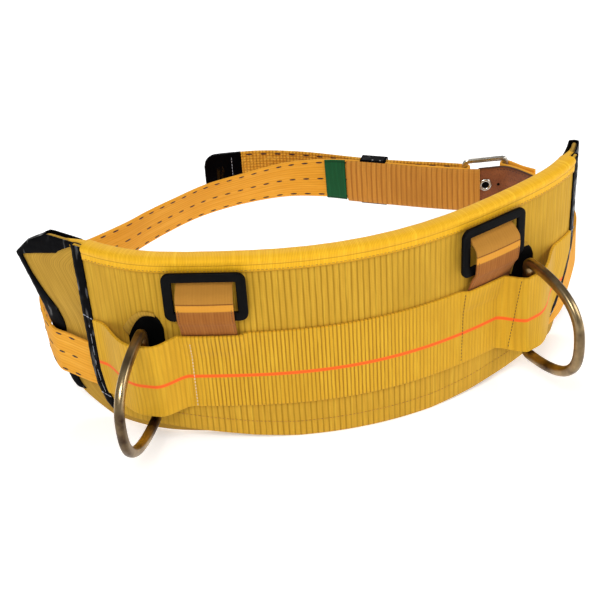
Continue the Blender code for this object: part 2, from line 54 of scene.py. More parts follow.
mm = 0.001


# The wall of the back pad: distance along it, height from its lower edge, and stand-off
wallShape = {
    "middle": (-4.0, -166.0),
    "height": 186.0,
    "lean": 0.04,
    "lowered": 80.0,      # the waist's centre is the origin
    "step": 1.0,
    "heading": [          # distance, degrees
        (-360, -51), (-240, -51), (-225, -48), (-200, -38), (-173, -27), (-146, -22), (-92, -18),
        (-40, -10), (10, 0), (60, 10), (112, 18), (166, 22), (193, 27), (222, 38), (246, 50),
        (275, 63), (360, 70),
    ],
}


def layWall():
    rows = np.array(wallShape["heading"], float)
    along = np.arange(rows[0, 0], rows[-1, 0] + wallShape["step"], wallShape["step"])
    turn = np.radians(np.interp(along, rows[:, 0], rows[:, 1]))
    x = np.concatenate([[0], np.cumsum(np.cos(turn[:-1]))]) * wallShape["step"]
    y = np.concatenate([[0], np.cumsum(np.sin(turn[:-1]))]) * wallShape["step"]
    middle = int(np.argmin(np.abs(along)))
    x += wallShape["middle"][0] - x[middle]
    y += wallShape["middle"][1] - y[middle]
    return along, x, y, turn


wallAlong, wallX, wallY, wallTurn = layWall()


def headingAt(along):
    return float(np.interp(along, wallAlong, wallTurn))


def wallAt(along, height, stand):
    turn = headingAt(along)
    out = stand - wallShape["lean"] * (wallShape["height"] - height)
    x = float(np.interp(along, wallAlong, wallX)) + sin(turn) * out
    y = float(np.interp(along, wallAlong, wallY)) - cos(turn) * out
    return Vector((x, y, height - wallShape["lowered"])) * mm


def wallFace(along):
    turn = headingAt(along)
    return Vector((sin(turn), -cos(turn), 0))


def tableAt(rows, key, column=1):
    return float(np.interp(key, [row[0] for row in rows], [row[column] for row in rows]))


def easeStep(share):
    share = min(max(share, 0.0), 1.0)
    return share * share * (3.0 - 2.0 * share)


def ripple(*phases):
    # a soft uneven wave from -1 to 1, the same on every run
    return sum(sin(phase * (1.0 + 0.61 * k) + 1.7 * k) for k, phase in enumerate(phases)) / len(phases)


# Materials
def linearColour(hexText):
    parts = [int(hexText[k:k + 2], 16) / 255 for k in (1, 3, 5)]
    return tuple(c / 12.92 if c <= 0.04045 else ((c + 0.055) / 1.055) ** 2.4 for c in parts) + (1.0,)


def addNode(tree, kind, settings=None, links=None):
    made = tree.nodes.new("ShaderNode" + kind)
    for key, value in (settings or {}).items():
        if isinstance(key, str) and hasattr(made, key):
            setattr(made, key, value)
        else:
            made.inputs[key].default_value = value
    for key, source in (links or {}).items():
        tree.links.new(source, made.inputs[key])
    return made


def newFinish(name, settings):
    made = bpy.data.materials.new(name)
    made.use_nodes = True
    shader = made.node_tree.nodes["Principled BSDF"]
    for key, value in settings.items():
        shader.inputs[key].default_value = value
    return made, made.node_tree, shader


def bandScale(pitch):
    # a wave texture has a band every 2 pi / 20 of its coordinate, here metres
    return 2 * pi / 20 / (pitch * mm)


def mixColours(tree, factor, first, second):
    # each colour is a hex text or the socket it comes from
    mix = addNode(tree, "Mix", {"data_type": "RGBA"}, {0: factor})
    for key, colour in ((6, first), (7, second)):
        if isinstance(colour, str):
            mix.inputs[key].default_value = linearColour(colour)
        else:
            tree.links.new(colour, mix.inputs[key])
    return mix.outputs[2]


def spread(tree, source, low, high, top=1.0):
    # stretches a band of values to 0..top
    return addNode(tree, "MapRange", {"From Min": low, "From Max": high, "To Max": top},
                   {"Value": source}).outputs["Result"]


def ribWindow(tree, along, rows):
    # 1 where the painted rib shade stands clear, falling towards each end of the cloth
    rise = spread(tree, along, rows[0] * mm, rows[1] * mm)
    fall = spread(tree, along, rows[3] * mm, rows[2] * mm)
    return addNode(tree, "Math", {"operation": "MULTIPLY"}, {0: rise, 1: fall}).outputs[0]


def windowAt(rows, along):
    rise = easeStep((along - rows[0]) / (rows[1] - rows[0]))
    return rise * easeStep((rows[3] - along) / (rows[3] - rows[2]))


def wovenFinish(name, look):
    # woven polyester: round ribs and fine cross threads with painted shade in their grooves, uneven dyeing
    # and a little sheen
    made, tree, shader = newFinish(name, {"Roughness": look["roughness"], "Sheen Weight": look["sheen"],
                                          "Sheen Roughness": 0.5, "Specular IOR Level": 0.18})
    flat = addNode(tree, "UVMap", {"uv_map": "flatCloth"}).outputs["UV"]
    place = addNode(tree, "TexCoord").outputs["Object"]
    across = "Y" if look["ribWay"] == "X" else "X"
    ribs = addNode(tree, "TexWave", {"bands_direction": look["ribWay"], "Distortion": 0.35, "Detail": 1.0,
                                     "Scale": bandScale(look["ribPitch"])}, {"Vector": flat})
    threads = addNode(tree, "TexWave", {"bands_direction": across, "Distortion": 0.8, "Detail": 1.0,
                                        "Scale": bandScale(look["threadPitch"])}, {"Vector": flat})
    pulled = addNode(tree, "Mapping", {"Scale": look["streaks"]}, {"Vector": flat})
    streaks = addNode(tree, "TexNoise", {"Scale": 1.0, "Detail": 3.0, "Roughness": 0.65},
                      {"Vector": pulled.outputs[0]})
    clouds = addNode(tree, "TexNoise", {"Scale": 16.0, "Detail": 2.0}, {"Vector": place})
    # painted shade: the grooves between the ribs are coloured darker
    colour = mixColours(tree, spread(tree, ribs.outputs["Fac"], 0.03, look.get("groove", 0.6)),
                        look["grooveShade"], look["main"])
    parts = addNode(tree, "SeparateXYZ", links={0: flat})
    # the painted rib shade shows fully inside the window and fades mostly back to the main colour outside it
    if look.get("window"):
        clear = ribWindow(tree, parts.outputs["X"], look["window"])
        colour = mixColours(tree, spread(tree, clear, 1.0, 0.0, 0.75), colour, look["main"])
    # painted shade: the gaps between cross threads are darkened towards the same groove colour
    colour = mixColours(tree, spread(tree, threads.outputs["Fac"], 0.55, 0.0, look["threadShade"]),
                        colour, look["grooveShade"])
    colour = mixColours(tree, spread(tree, streaks.outputs["Fac"], 0.5, 0.8, 0.9), colour, look["light"])
    colour = mixColours(tree, spread(tree, streaks.outputs["Fac"], 0.5, 0.25, 0.6), colour, look["shade"])
    colour = mixColours(tree, spread(tree, clouds.outputs["Fac"], 0.5, 0.8, 0.6), colour, look["shade"])
    # bands across the cloth's height: a dyed stripe and woven borders, and on the binding and the loops
    # painted shade and highlight bands
    for centre, half, soft, dyeAndPaintedLight, share in look.get("lines", []):
        away = addNode(tree, "Math", {"operation": "SUBTRACT", 1: centre * mm}, {0: parts.outputs["Y"]})
        size = addNode(tree, "Math", {"operation": "ABSOLUTE"}, {0: away.outputs[0]})
        part = spread(tree, size.outputs[0], (half + soft) * mm, half * mm, share)
        colour = mixColours(tree, part, colour, dyeAndPaintedLight)
    tree.links.new(colour, shader.inputs["Base Color"])
    relief = addNode(tree, "Math", {"operation": "MULTIPLY_ADD", 1: look["threadRelief"]},
                     {0: threads.outputs["Fac"], 2: ribs.outputs["Fac"]})
    bump = addNode(tree, "Bump", {"Strength": look["bump"], "Distance": look.get("depth", 0.25) * mm},
                   {"Height": relief.outputs[0]})
    tree.links.new(bump.outputs[0], shader.inputs["Normal"])
    return made


def vinylFinish(name, look):
    # calendered vinyl tape: deep black, with bright streaks where soft wrinkles catch the light
    made, tree, shader = newFinish(name, {"Coat Roughness": 0.07, "Specular IOR Level": 0.02})
    place = addNode(tree, "TexCoord").outputs["Object"]
    drawn = addNode(tree, "Mapping", {"Scale": (1.0, 1.0, 0.22)}, {"Vector": place})
    wrinkles = addNode(tree, "TexNoise", {"Scale": look["wrinkleScale"], "Detail": 1.5},
                       {"Vector": drawn.outputs[0]})
    rubbed = addNode(tree, "TexNoise", {"Scale": 70.0, "Detail": 4.0, "Roughness": 0.7}, {"Vector": place})
    colour = mixColours(tree, spread(tree, rubbed.outputs["Fac"], 0.55, 0.85), look["main"], look["rubbed"])
    tree.links.new(colour, shader.inputs["Base Color"])
    rough = addNode(tree, "MapRange", {"From Min": 0.4, "From Max": 0.8, "To Min": look["gloss"],
                                       "To Max": look["gloss"] + 0.3}, {"Value": rubbed.outputs["Fac"]})
    tree.links.new(rough.outputs["Result"], shader.inputs["Roughness"])
    streak = spread(tree, wrinkles.outputs["Fac"], 0.6, 0.7, look["coat"])
    tree.links.new(streak, shader.inputs["Coat Weight"])
    bump = addNode(tree, "Bump", {"Strength": 0.5, "Distance": 0.5 * mm},
                   {"Height": wrinkles.outputs["Fac"]})
    tree.links.new(bump.outputs[0], shader.inputs["Normal"])
    return made


def metalFinish(name, look):
    # forged or drawn steel: polished where it is handled, darker and duller in the patina
    made, tree, shader = newFinish(name, {"Metallic": look["metallic"], "Coat Weight": look.get("coat", 0.0),
                                          "Specular IOR Level": look.get("shine", 0.5)})
    place = addNode(tree, "TexCoord").outputs["Object"]
    patina = addNode(tree, "TexNoise", {"Scale": look["patinaScale"], "Detail": 4.0, "Roughness": 0.5},
                     {"Vector": place})
    grit = addNode(tree, "TexNoise", {"Scale": 1400.0, "Detail": 2.0}, {"Vector": place})
    colour = mixColours(tree, spread(tree, patina.outputs["Fac"], 0.36, 0.64), look["main"], look["patina"])
    tree.links.new(colour, shader.inputs["Base Color"])
    rough = addNode(tree, "MapRange", {"From Min": 0.3, "From Max": 0.7, "To Min": look["gloss"],
                                       "To Max": look["gloss"] + 0.22}, {"Value": patina.outputs["Fac"]})
    tree.links.new(rough.outputs["Result"], shader.inputs["Roughness"])
    bump = addNode(tree, "Bump", {"Strength": 0.25, "Distance": 0.06 * mm}, {"Height": grit.outputs["Fac"]})
    tree.links.new(bump.outputs[0], shader.inputs["Normal"])
    return made


def leatherFinish(name, look):
    # oiled cowhide strap: cell grain 0.9 mm wide, darker burnished edges, uneven oil
    made, tree, shader = newFinish(name, {"Roughness": 0.45, "Specular IOR Level": 0.4})
    flat = addNode(tree, "UVMap", {"uv_map": "flatCloth"}).outputs["UV"]
    grain = addNode(tree, "TexVoronoi", {"Scale": 1 / (look["grain"] * mm), "feature": "SMOOTH_F1"},
                    {"Vector": flat})
    oil = addNode(tree, "TexNoise", {"Scale": 60.0, "Detail": 4.0}, {"Vector": flat})
    parts = addNode(tree, "SeparateXYZ", links={0: flat})
    middle = addNode(tree, "Math", {"operation": "SUBTRACT", 1: look["height"] / 2 * mm},
                     {0: parts.outputs["Y"]})
    edge = addNode(tree, "Math", {"operation": "ABSOLUTE"}, {0: middle.outputs[0]})
    colour = mixColours(tree, spread(tree, oil.outputs["Fac"], 0.35, 0.7), look["main"], look["worn"])
    colour = mixColours(tree, spread(tree, grain.outputs["Distance"], 0.3, 0.8, 0.5), colour, look["edge"])
    colour = mixColours(tree, spread(tree, edge.outputs[0], (look["height"] / 2 - 3) * mm,
                                     look["height"] / 2 * mm), colour, look["edge"])
    tree.links.new(colour, shader.inputs["Base Color"])
    bump = addNode(tree, "Bump", {"Strength": 0.5, "Distance": 0.2 * mm, "invert": True},
                   {"Height": grain.outputs["Distance"]})
    tree.links.new(bump.outputs[0], shader.inputs["Normal"])
    return made


def threadFinish(name, hexText):
    # bonded sewing thread: slightly waxy, with the dark and light of its twist
    made, tree, shader = newFinish(name, {"Roughness": 0.6})
    place = addNode(tree, "TexCoord").outputs["Object"]
    twist = addNode(tree, "TexNoise", {"Scale": 900.0, "Detail": 1.0}, {"Vector": place})
    tone = addNode(tree, "HueSaturation", {"Color": linearColour(hexText)},
                   {"Value": spread(tree, twist.outputs["Fac"], 0.0, 0.7, 1.3)})
    tree.links.new(tone.outputs[0], shader.inputs["Base Color"])
    return made


wovenLook = {"ribWay": "X", "ribPitch": 3.3, "threadPitch": 1.5, "threadShade": 0.25, "threadRelief": 0.35,
             "streaks": (420.0, 14.0, 1.0), "roughness": 0.85, "sheen": 0.04, "bump": 0.5}
finishes = {
    "panel": wovenFinish("polyesterPanelRibWoven", {
        **wovenLook, "main": "#CB9C2C", "grooveShade": "#9C7416", "light": "#D8AE36", "shade": "#B0861F",
        "ribPitch": 5.1, "groove": 0.3, "threadShade": 0.15, "bump": 0.3, "window": (20, 120, 280, 360)}),
    "pad": wovenFinish("polyesterPadCoverPlainWoven", {
        **wovenLook, "main": "#BA9030", "grooveShade": "#A8802A", "light": "#D2A640", "shade": "#9C7424",
        "ribPitch": 2.2, "threadPitch": 1.2, "threadShade": 0.0, "bump": 0.15}),
    "binding": wovenFinish("polyesterBindingTapeWoven", {
        **wovenLook, "main": "#F2BA1C", "grooveShade": "#DC9E10", "light": "#FBCB34", "shade": "#DEA414",
        "ribPitch": 1.3, "threadPitch": 1.3, "bump": 0.3, "roughness": 0.6, "threadRelief": 0.8,
        # the two darker lines are painted shade: one along the front lip's lower edge, one in the crease
        # above it
        "lines": [(0.7, 0.4, 0.6, "#A8760E", 0.6), (7.2, 0.2, 0.5, "#C08A12", 0.8)]}),
    "web": wovenFinish("polyesterWideWebbingWoven", {
        **wovenLook, "main": "#D8A522", "grooveShade": "#966A0E", "light": "#E4B632", "shade": "#BE8E1A",
        "ribPitch": 3.4, "groove": 0.5, "roughness": 0.7, "threadShade": 0.15, "bump": 0.25,
        "window": (-165, -130, 10, 95), "lines": [(32.5, 1.25, 0.8, "#F2641C", 1.0)]}),
    "loop": wovenFinish("polyesterLoopWebbingWoven", {
        **wovenLook, "main": "#A06226", "grooveShade": "#945821", "light": "#AE7030", "shade": "#8C521E",
        "ribPitch": 2.4, "threadShade": 0.1, "bump": 0.2,
        # painted light on the loop: a highlight band along the crest of the fold, a thin painted shade line
        # just above it, and the upper part, which faces up, painted lighter
        "lines": [(46.5, 2.6, 1.2, "#DE9A34", 0.9), (50.4, 0.2, 0.3, "#5A3410", 0.8),
                  (68.0, 17.0, 0.4, "#BE8A34", 0.6)]}),
    "strap": wovenFinish("polyesterStrapWebbingWoven", {
        **wovenLook, "main": "#EBA530", "grooveShade": "#DE9826", "light": "#F3B446", "shade": "#DA9426",
        "ribWay": "Y", "ribPitch": 3.0, "threadPitch": 1.6, "threadShade": 0.1,
        "streaks": (16.0, 300.0, 1.0), "bump": 0.3}),
    "tongue": wovenFinish("polyesterTongueWebbingCoarseWoven", {
        **wovenLook, "main": "#EBAC34", "grooveShade": "#B87A1E", "light": "#F8C654", "shade": "#CE8C24",
        "ribPitch": 3.4, "threadPitch": 3.0, "threadShade": 0.7, "threadRelief": 1.0,
        "streaks": (260.0, 260.0, 1.0), "bump": 0.9, "depth": 0.6}),
    "sleeve": wovenFinish("polyesterSleeveRibWoven", {
        **wovenLook, "main": "#CC8C38", "grooveShade": "#A86C28", "light": "#DA9C44", "shade": "#B0742C",
        "ribPitch": 5.1, "groove": 0.4, "bump": 0.35}),
    "tag": wovenFinish("satinTagWoven", {
        **wovenLook, "main": "#0B5C32", "grooveShade": "#06401F", "light": "#14733F", "shade": "#084A27",
        "ribPitch": 1.0, "threadPitch": 1.0, "bump": 0.3, "roughness": 0.6, "sheen": 0.0,
        "lines": [(1.6, 0.35, 0.3, "#05361B", 1.0), (43.4, 0.35, 0.3, "#05361B", 1.0)]}),
    "vinyl": vinylFinish("vinylTapeCalendered", {
        "main": "#030305", "rubbed": "#06070A", "coat": 0.9, "gloss": 0.3, "wrinkleScale": 190.0}),
    # the wear plates' black also paints the shade in the leather tab's punched holes
    "plate": vinylFinish("rubberWearPlateMouldedAndHoleShade", {
        "main": "#060606", "rubbed": "#171512", "coat": 0.0, "gloss": 0.4, "wrinkleScale": 60.0}),
    "bronze": metalFinish("steelForgedBronzePlated", {
        "main": "#B39B72", "patina": "#33231C", "metallic": 1.0, "patinaScale": 24.0, "gloss": 0.22}),
    "blackSteel": metalFinish("steelStampedBlackCoated", {
        "main": "#050506", "patina": "#0C0C0D", "metallic": 0.0, "patinaScale": 90.0, "gloss": 0.4,
        "coat": 0.04, "shine": 0.03}),
    "bright": metalFinish("steelNickelPlated", {
        "main": "#E8E4DC", "patina": "#A8A296", "metallic": 1.0, "patinaScale": 60.0, "gloss": 0.14}),
    "leather": leatherFinish("leatherStrapOiled", {
        "main": "#7C401A", "worn": "#98562A", "edge": "#42200C", "grain": 0.9, "height": 44.5}),
    "brownThread": threadFinish("nylonThreadBrown", "#3C1605"),
    "yellowThread": threadFinish("nylonThreadYellow", "#B07C14"),
    "creamThread": threadFinish("nylonThreadCream", "#DCCBB0"),
    # the grey thread finish also paints the highlight line down the black end tapes
    "greyThreadAndHighlight": threadFinish("nylonThreadGreyAndPaintedHighlight", "#B9BDC8"),
}
print("materials ready")


# Makers of pieces
def keepPiece(name, bm, finish, slot, body="belt"):
    mesh = bpy.data.meshes.new(name)
    bm.to_mesh(mesh)
    bm.free()
    mesh.shade_smooth()
    mesh.materials.append(finishes[finish])
    piece = bpy.data.objects.new(name, mesh)
    scene.collection.objects.link(piece)
    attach(piece, body)
    return piece


def clothGrid(columns, rows, place):
    # a grid laid by place(share along, share up), which gives the point and the flat cloth's own
    bm = bmesh.new()
    bmesh.ops.create_grid(bm, x_segments=columns, y_segments=rows, size=0.5)
    flatMap = bm.loops.layers.uv.new("flatCloth")
    for vert in bm.verts:
        point, flat = place(vert.co.x + 0.5, vert.co.y + 0.5)
        vert.co = point
        for loop in vert.link_loops:
            loop[flatMap].uv = (flat[0] * mm, flat[1] * mm)
    return bm


def clothPiece(name, columns, rows, place, look):
    piece = keepPiece(name, clothGrid(columns, rows, place), look["finish"], look["slot"])
    wallMaker = piece.modifiers.new("thickness", "SOLIDIFY")
    wallMaker.thickness = look["thick"] * mm
    wallMaker.offset = look.get("offset", -1.0)
    if look.get("round", 0.35):
        soften = piece.modifiers.new("roundEdge", "BEVEL")
        soften.width = look.get("round", 0.35) * mm
        soften.segments = 2
        soften.limit_method = "ANGLE"
        soften.angle_limit = radians(50)
    return piece


def pointOn(points, spot):
    # the point at a fractional place in a list of points
    return tuple(float(np.interp(spot, range(len(points)), [point[axis] for point in points]))
                 for axis in (0, 1))


def smoothRows(points, step):
    # points a step apart on a smooth curve through the given ones
    rows = np.array(points, float)
    rows = np.vstack([2 * rows[0] - rows[1], rows, 2 * rows[-1] - rows[-2]])
    fine = []
    for k in range(1, len(rows) - 2):
        before, here, after, later = rows[k - 1:k + 3]
        for t in np.linspace(0, 1, 24, endpoint=False):
            fine.append(0.5 * (2 * here + (after - before) * t
                               + (2 * before - 5 * here + 4 * after - later) * t ** 2
                               + (3 * here - before - 3 * after + later) * t ** 3))
    fine.append(rows[-2])
    fine = np.array(fine)
    run = np.concatenate([[0], np.cumsum(np.linalg.norm(np.diff(fine[:, :2], axis=0), axis=1))])
    marks = np.linspace(0, run[-1], max(2, int(round(run[-1] / step)) + 1))
    return np.stack([np.interp(marks, run, fine[:, axis]) for axis in range(fine.shape[1])], axis=1)


def barFrame(name, outline, profile, finish, slot, place, body="belt"):
    # a closed bar: an outline in its own plane swept by a profile, then put in place
    sweep = bpy.data.curves.new(name + "Outline", "CURVE")
    section = bpy.data.curves.new(name + "Section", "CURVE")
    for curve, points in ((sweep, outline), (section, profile)):
        curve.dimensions = "3D"
        curve.twist_mode = "Z_UP"
        spline = curve.splines.new("POLY")
        spline.points.add(len(points) - 1)
        for spot, (x, y) in zip(spline.points, points):
            spot.co = (x * mm, y * mm, 0, 1)
        spline.use_cyclic_u = True
    section.dimensions = "2D"
    section.fill_mode = "NONE"
    sectionObject = bpy.data.objects.new(name + "Section", section)
    sweepObject = bpy.data.objects.new(name + "Outline", sweep)
    scene.collection.objects.link(sectionObject)
    scene.collection.objects.link(sweepObject)
    sweep.bevel_mode = "OBJECT"
    sweep.bevel_object = sectionObject
    graph = bpy.context.evaluated_depsgraph_get()
    made = bpy.data.meshes.new_from_object(sweepObject.evaluated_get(graph))
    bm = bmesh.new()
    bm.from_mesh(made)
    bmesh.ops.remove_doubles(bm, verts=bm.verts[:], dist=0.01 * mm)
    bmesh.ops.transform(bm, verts=bm.verts[:], matrix=place)
    bmesh.ops.recalc_face_normals(bm, faces=bm.faces[:])
    bpy.data.objects.remove(sweepObject)
    bpy.data.objects.remove(sectionObject)
    bpy.data.meshes.remove(made)
    return keepPiece(name, bm, finish, slot, body)


def roundBox(width, low, high, radius, steps):
    points = []
    for corner, (x, y) in enumerate(((1, -1), (1, 1), (-1, 1), (-1, -1))):
        middle = (x * (width / 2 - radius), (high - radius) if y > 0 else (low + radius))
        for k in range(steps + 1):
            angle = -pi / 2 + corner * pi / 2 + pi / 2 * k / steps
            points.append((middle[0] + radius * cos(angle), middle[1] + radius * sin(angle)))
    return points


def oval(width, height, roundness, count):
    points = []
    for k in range(count):
        angle = 2 * pi * k / count
        x = width / 2 * abs(cos(angle)) ** (2 / roundness) * (1 if cos(angle) > 0 else -1)
        y = height / 2 * abs(sin(angle)) ** (2 / roundness) * (1 if sin(angle) > 0 else -1)
        points.append((x, y))
    return points


def fittingPlace(origin, alongX, alongY):
    x, y = alongX.normalized(), alongY.normalized()
    place = Matrix((x, y, x.cross(y))).transposed().to_4x4()
    place.translation = origin
    return place


def stitching(name, rows, look, slot):
    # rows of (spot, start, end): spot gives a point and the way out at a distance along the row
    bm = bmesh.new()
    for spotAt, start, end in rows:
        for at in np.arange(start, end - look["length"], look["pitch"]):
            (near, outNear), (far, outFar) = spotAt(at), spotAt(at + look["length"])
            way = (far - near).normalized()
            out = (outNear + outFar).normalized()
            side = out.cross(way).normalized()
            turn = Matrix((side, way.cross(side), way)).transposed().to_4x4()
            size = Matrix.Diagonal((look["width"] / 2 * mm, look["proud"] * mm, (far - near).length / 2, 1))
            bmesh.ops.create_uvsphere(bm, u_segments=6, v_segments=4, radius=1.0,
                                      matrix=Matrix.Translation((near + far) / 2) @ turn @ size)
    return keepPiece(name, bm, look["finish"], slot)


# Outer panel: rib woven, its lower edge cut to a curve
panelEdge = [
    (-252, 62), (-249, 42), (-243, 26), (-236, 18), (-216, 15), (-180, 14), (-140, 8), (-104, 3),
    (-66, 0), (60, 0), (104, 3), (146, 8), (171, 12), (185, 21), (202, 34), (214, 46), (222, 57),
    (231, 71), (243, 95),
]
panel = {"ribPitch": 5.1, "ribDepth": 0.16, "pointsARib": 6, "rows": 30, "window": (20, 120, 280, 360),
         "finish": "panel", "slot": "panel_webbing", "thick": 2.6, "seamUp": 15.5}


def panelBottom(along):
    return tableAt(panelEdge, along)


def panelEnd(side, height):
    rows = panelEdge[:6] if side < 0 else panelEdge[-7:]
    return tableAt(sorted((high, along) for along, high in rows), height)


def makePanel():
    left, right = panelEdge[0][0], panelEdge[-1][0]
    columns = int((right - left) / panel["ribPitch"] * panel["pointsARib"])

    def place(s, t):
        along = left + (right - left) * s
        low = panelBottom(along)
        height = low + (wallShape["height"] - low) * t
        fade = easeStep(min(t, 1 - t) * 30)
        clear = 0.3 + 0.7 * windowAt(panel["window"], along - left)
        rib = -panel["ribDepth"] * (cos(2 * pi * (along - left) / panel["ribPitch"]) + 1) / 2 * fade * clear
        return wallAt(along, height, rib), (along - left, height)

    piece = clothPiece("outerPanel", columns, panel["rows"], place, panel)
    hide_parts("outer_panel")

    def seam(up):
        return lambda along: (wallAt(along, panelBottom(along) + up, 0.1), wallFace(along))

    stitching("panelSeam", [(seam(panel["seamUp"]), -232, 160)],
              {"pitch": 3.6, "length": 2.6, "width": 0.8, "proud": 0.25, "finish": "yellowThread"},
              "panel_webbing")


# Comfort pad behind it: foam in a smooth woven cover
padEnds = [
    (0, 246, 229), (8, 265, 241), (16, 280, 250), (28, 290, 259), (45, 295, 264), (62, 297, 267),
    (84, 298, 270), (106, 301, 276), (128, 309, 284), (157, 322, 298), (172, 307, 286),
    (185, 284, 269),
]
pad = {"seatLow": -9.6, "seatHigh": -4.6, "thick": 5.6, "startThick": 4.6, "columns": 96, "rows": 32,
       "pressure": 4.0, "frames": 20, "mostSwell": 3.2, "heldEnd": 25.0, "heldTop": 14.0}


def padSeat(height):
    return pad["seatLow"] + (pad["seatHigh"] - pad["seatLow"]) * easeStep((height - 86.0) / 42.0)


def padEnd(side, height):
    return side * tableAt(padEnds, height, 1 if side < 0 else 2)


def makePad():
    held = {}

    def place(s, t):
        height = padEnds[-1][0] * t
        left, right = padEnd(-1, height), padEnd(1, height)
        along = left + (right - left) * s
        return wallAt(along, height, padSeat(height)), (along - left, height)

    bm = clothGrid(pad["columns"], pad["rows"], place)
    heldLayer = bm.verts.layers.float.new("held")
    for vert in bm.verts:
        vert[heldLayer] = 1.0
    flatMap = bm.loops.layers.uv["flatCloth"]
    sheetFaces = bm.faces[:]
    places = {vert: Vector(vert.link_loops[0][flatMap].uv) / mm for vert in bm.verts}
    copied = bmesh.ops.duplicate(bm, geom=bm.verts[:] + bm.edges[:] + sheetFaces)
    rear = {new: places[old] for old, new in copied["vert_map"].items() if old in places}
    bmesh.ops.reverse_faces(bm, faces=[f for f in bm.faces if f.verts[0] in rear])
    for vert, (fromLeft, height) in rear.items():
        left, right = padEnd(-1, height), padEnd(1, height)
        along = left + fromLeft
        vert.co = wallAt(along, height, padSeat(height) - pad["startThick"])
        toEnd = min(fromLeft, right - along, (padEnds[-1][0] - height) + pad["heldEnd"] - pad["heldTop"])
        vert[heldLayer] = 1.0 - easeStep((toEnd - pad["heldEnd"]) / 10.0) * easeStep(height / 8.0)
    bmesh.ops.bridge_loops(bm, edges=[edge for edge in bm.edges if edge.is_boundary])
    bmesh.ops.recalc_face_normals(bm, faces=bm.faces[:])
    piece = keepPiece("comfortPad", bm, "pad", "pad_fabric")
    weights = [item.value for item in piece.data.attributes["held"].data]
    group = piece.vertex_groups.new(name="held")
    for index, weight in enumerate(weights):
        group.add([index], weight, "REPLACE")
    swellPad(piece, weights)
    soften = piece.modifiers.new("smooth", "SUBSURF")
    soften.levels = 1
    soften.render_levels = 1
    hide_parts("comfort_pad")


def swellPad(piece, weights):
    start = np.array([vert.co for vert in piece.data.vertices], float)
    cloth = piece.modifiers.new("swell", "CLOTH")
    cloth.settings.use_pressure = True
    cloth.settings.uniform_pressure_force = pad["pressure"]
    cloth.settings.effector_weights.gravity = 0
    cloth.settings.vertex_group_mass = "held"
    cloth.settings.quality = 5
    cloth.point_cache.frame_end = pad["frames"]
    for step in range(1, pad["frames"] + 1):
        scene.frame_set(step)
    graph = bpy.context.evaluated_depsgraph_get()
    swollen = piece.evaluated_get(graph).data
    moved = np.array([vert.co for vert in swollen.vertices], float) - start
    size = np.linalg.norm(moved, axis=1)
    cap = pad["mostSwell"] * mm * (1 - np.array(weights))
    moved *= (np.minimum(size, cap) / np.maximum(size, 1e-9))[:, None]
    piece.modifiers.remove(cloth)
    for vert, point in zip(piece.data.vertices, start + moved):
        vert.co = point
    scene.frame_set(1)
    print("pad swollen, most %.1f mm" % (float(np.linalg.norm(moved, axis=1).max()) / mm))


# Bindings: bright tape over the top edge, black vinyl over the upright ends
topTape = {
    "lipGap": 9.6, "columns": 150, "finish": "binding", "slot": "bright_binding", "thick": 1.2,
    "profile": [          # stand, height
        (1.55, 173.6), (1.75, 176), (1.85, 179.5), (1.6, 180.6), (2.1, 182.0), (2.5, 184.2), (1.6, 186.8),
        (-1.2, 188.3), (-5.5, 188.7), (-9.8, 188.2), (-12.4, 186.4), (-13.2, 183.5), (-13.0, 179),
        (-12.9, 173.8),
    ],
}
endTapes = {
    "panelLip": 9.0, "slot": "black_vinyl", "finish": "vinyl", "thick": 1.1,
    "leftLevels": (20, 186), "rightLevels": (24, 186), "padLevels": (22, 185.5),
    "tongue": {"left": (-239, -281), "right": (230, 266)},
    "capLip": [(60, 9), (92, 12), (110, 11), (125, 7), (140, 4.5), (157, 4.5), (163, 18), (169, 34)],
    "tongueFlat": {"left": (0.042, 0.0115), "right": (0.036, 0.0115)},
}


def profilePlace(profile, step):
    # a point on a profile by its share of the profile's length, and that length
    rows = smoothRows([(x, y, 0, 0) for x, y in profile], step)
    run = np.concatenate([[0], np.cumsum(np.hypot(np.diff(rows[:, 0]), np.diff(rows[:, 1])))])

    def at(share):
        spot = share * run[-1]
        return float(np.interp(spot, run, rows[:, 0])), float(np.interp(spot, run, rows[:, 1]))

    return at, run[-1]


def makeTopTape():
    at, wide = profilePlace(topTape["profile"], 0.8)
    left = panelEnd(-1, wallShape["height"]) + topTape["lipGap"]
    right = panelEnd(1, wallShape["height"]) - topTape["lipGap"]

    def place(s, t):
        stand, height = at(t)
        along = left + (right - left) * s
        soft = 0.16 * ripple(along / 23, along / 41, along / 9) if height > 180 else 0
        return wallAt(along, height + soft, stand), (along, t * wide)

    piece = clothPiece("topBinding", topTape["columns"], 34, place, topTape)
    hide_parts("top_binding")
    look = {"pitch": 3.4, "length": 2.6, "width": 0.6, "proud": 0.2, "finish": "yellowThread"}
    stitching("topBindingSeam", [(lambda a: (wallAt(a, 175.8, 1.85), wallFace(a)), left + 3, right - 3)],
              look, "bright_binding")


def makeTongues():
    # ends of the bright tape, run on over the pad's corners to a point
    for name, side, (near, far) in (("left", -1, endTapes["tongue"]["left"]),
                                    ("right", 1, endTapes["tongue"]["right"])):
        def place(s, t):
            share = s if side > 0 else 1 - s
            along = near + (far - near) * share
            slim = 1 - 0.7 * easeStep(share)
            turn = pi * (t * 0.8 + 0.02)
            stand = -7.6 + (7.0 * slim) * cos(turn)
            height = 182.0 + (5.2 * slim) * sin(turn) - 1.2 * share
            return wallAt(along, height, stand), (abs(along), t * 16)

        piece = clothPiece(name + "BindingTongue", 18, 14, place, {**topTape, "thick": 0.9})


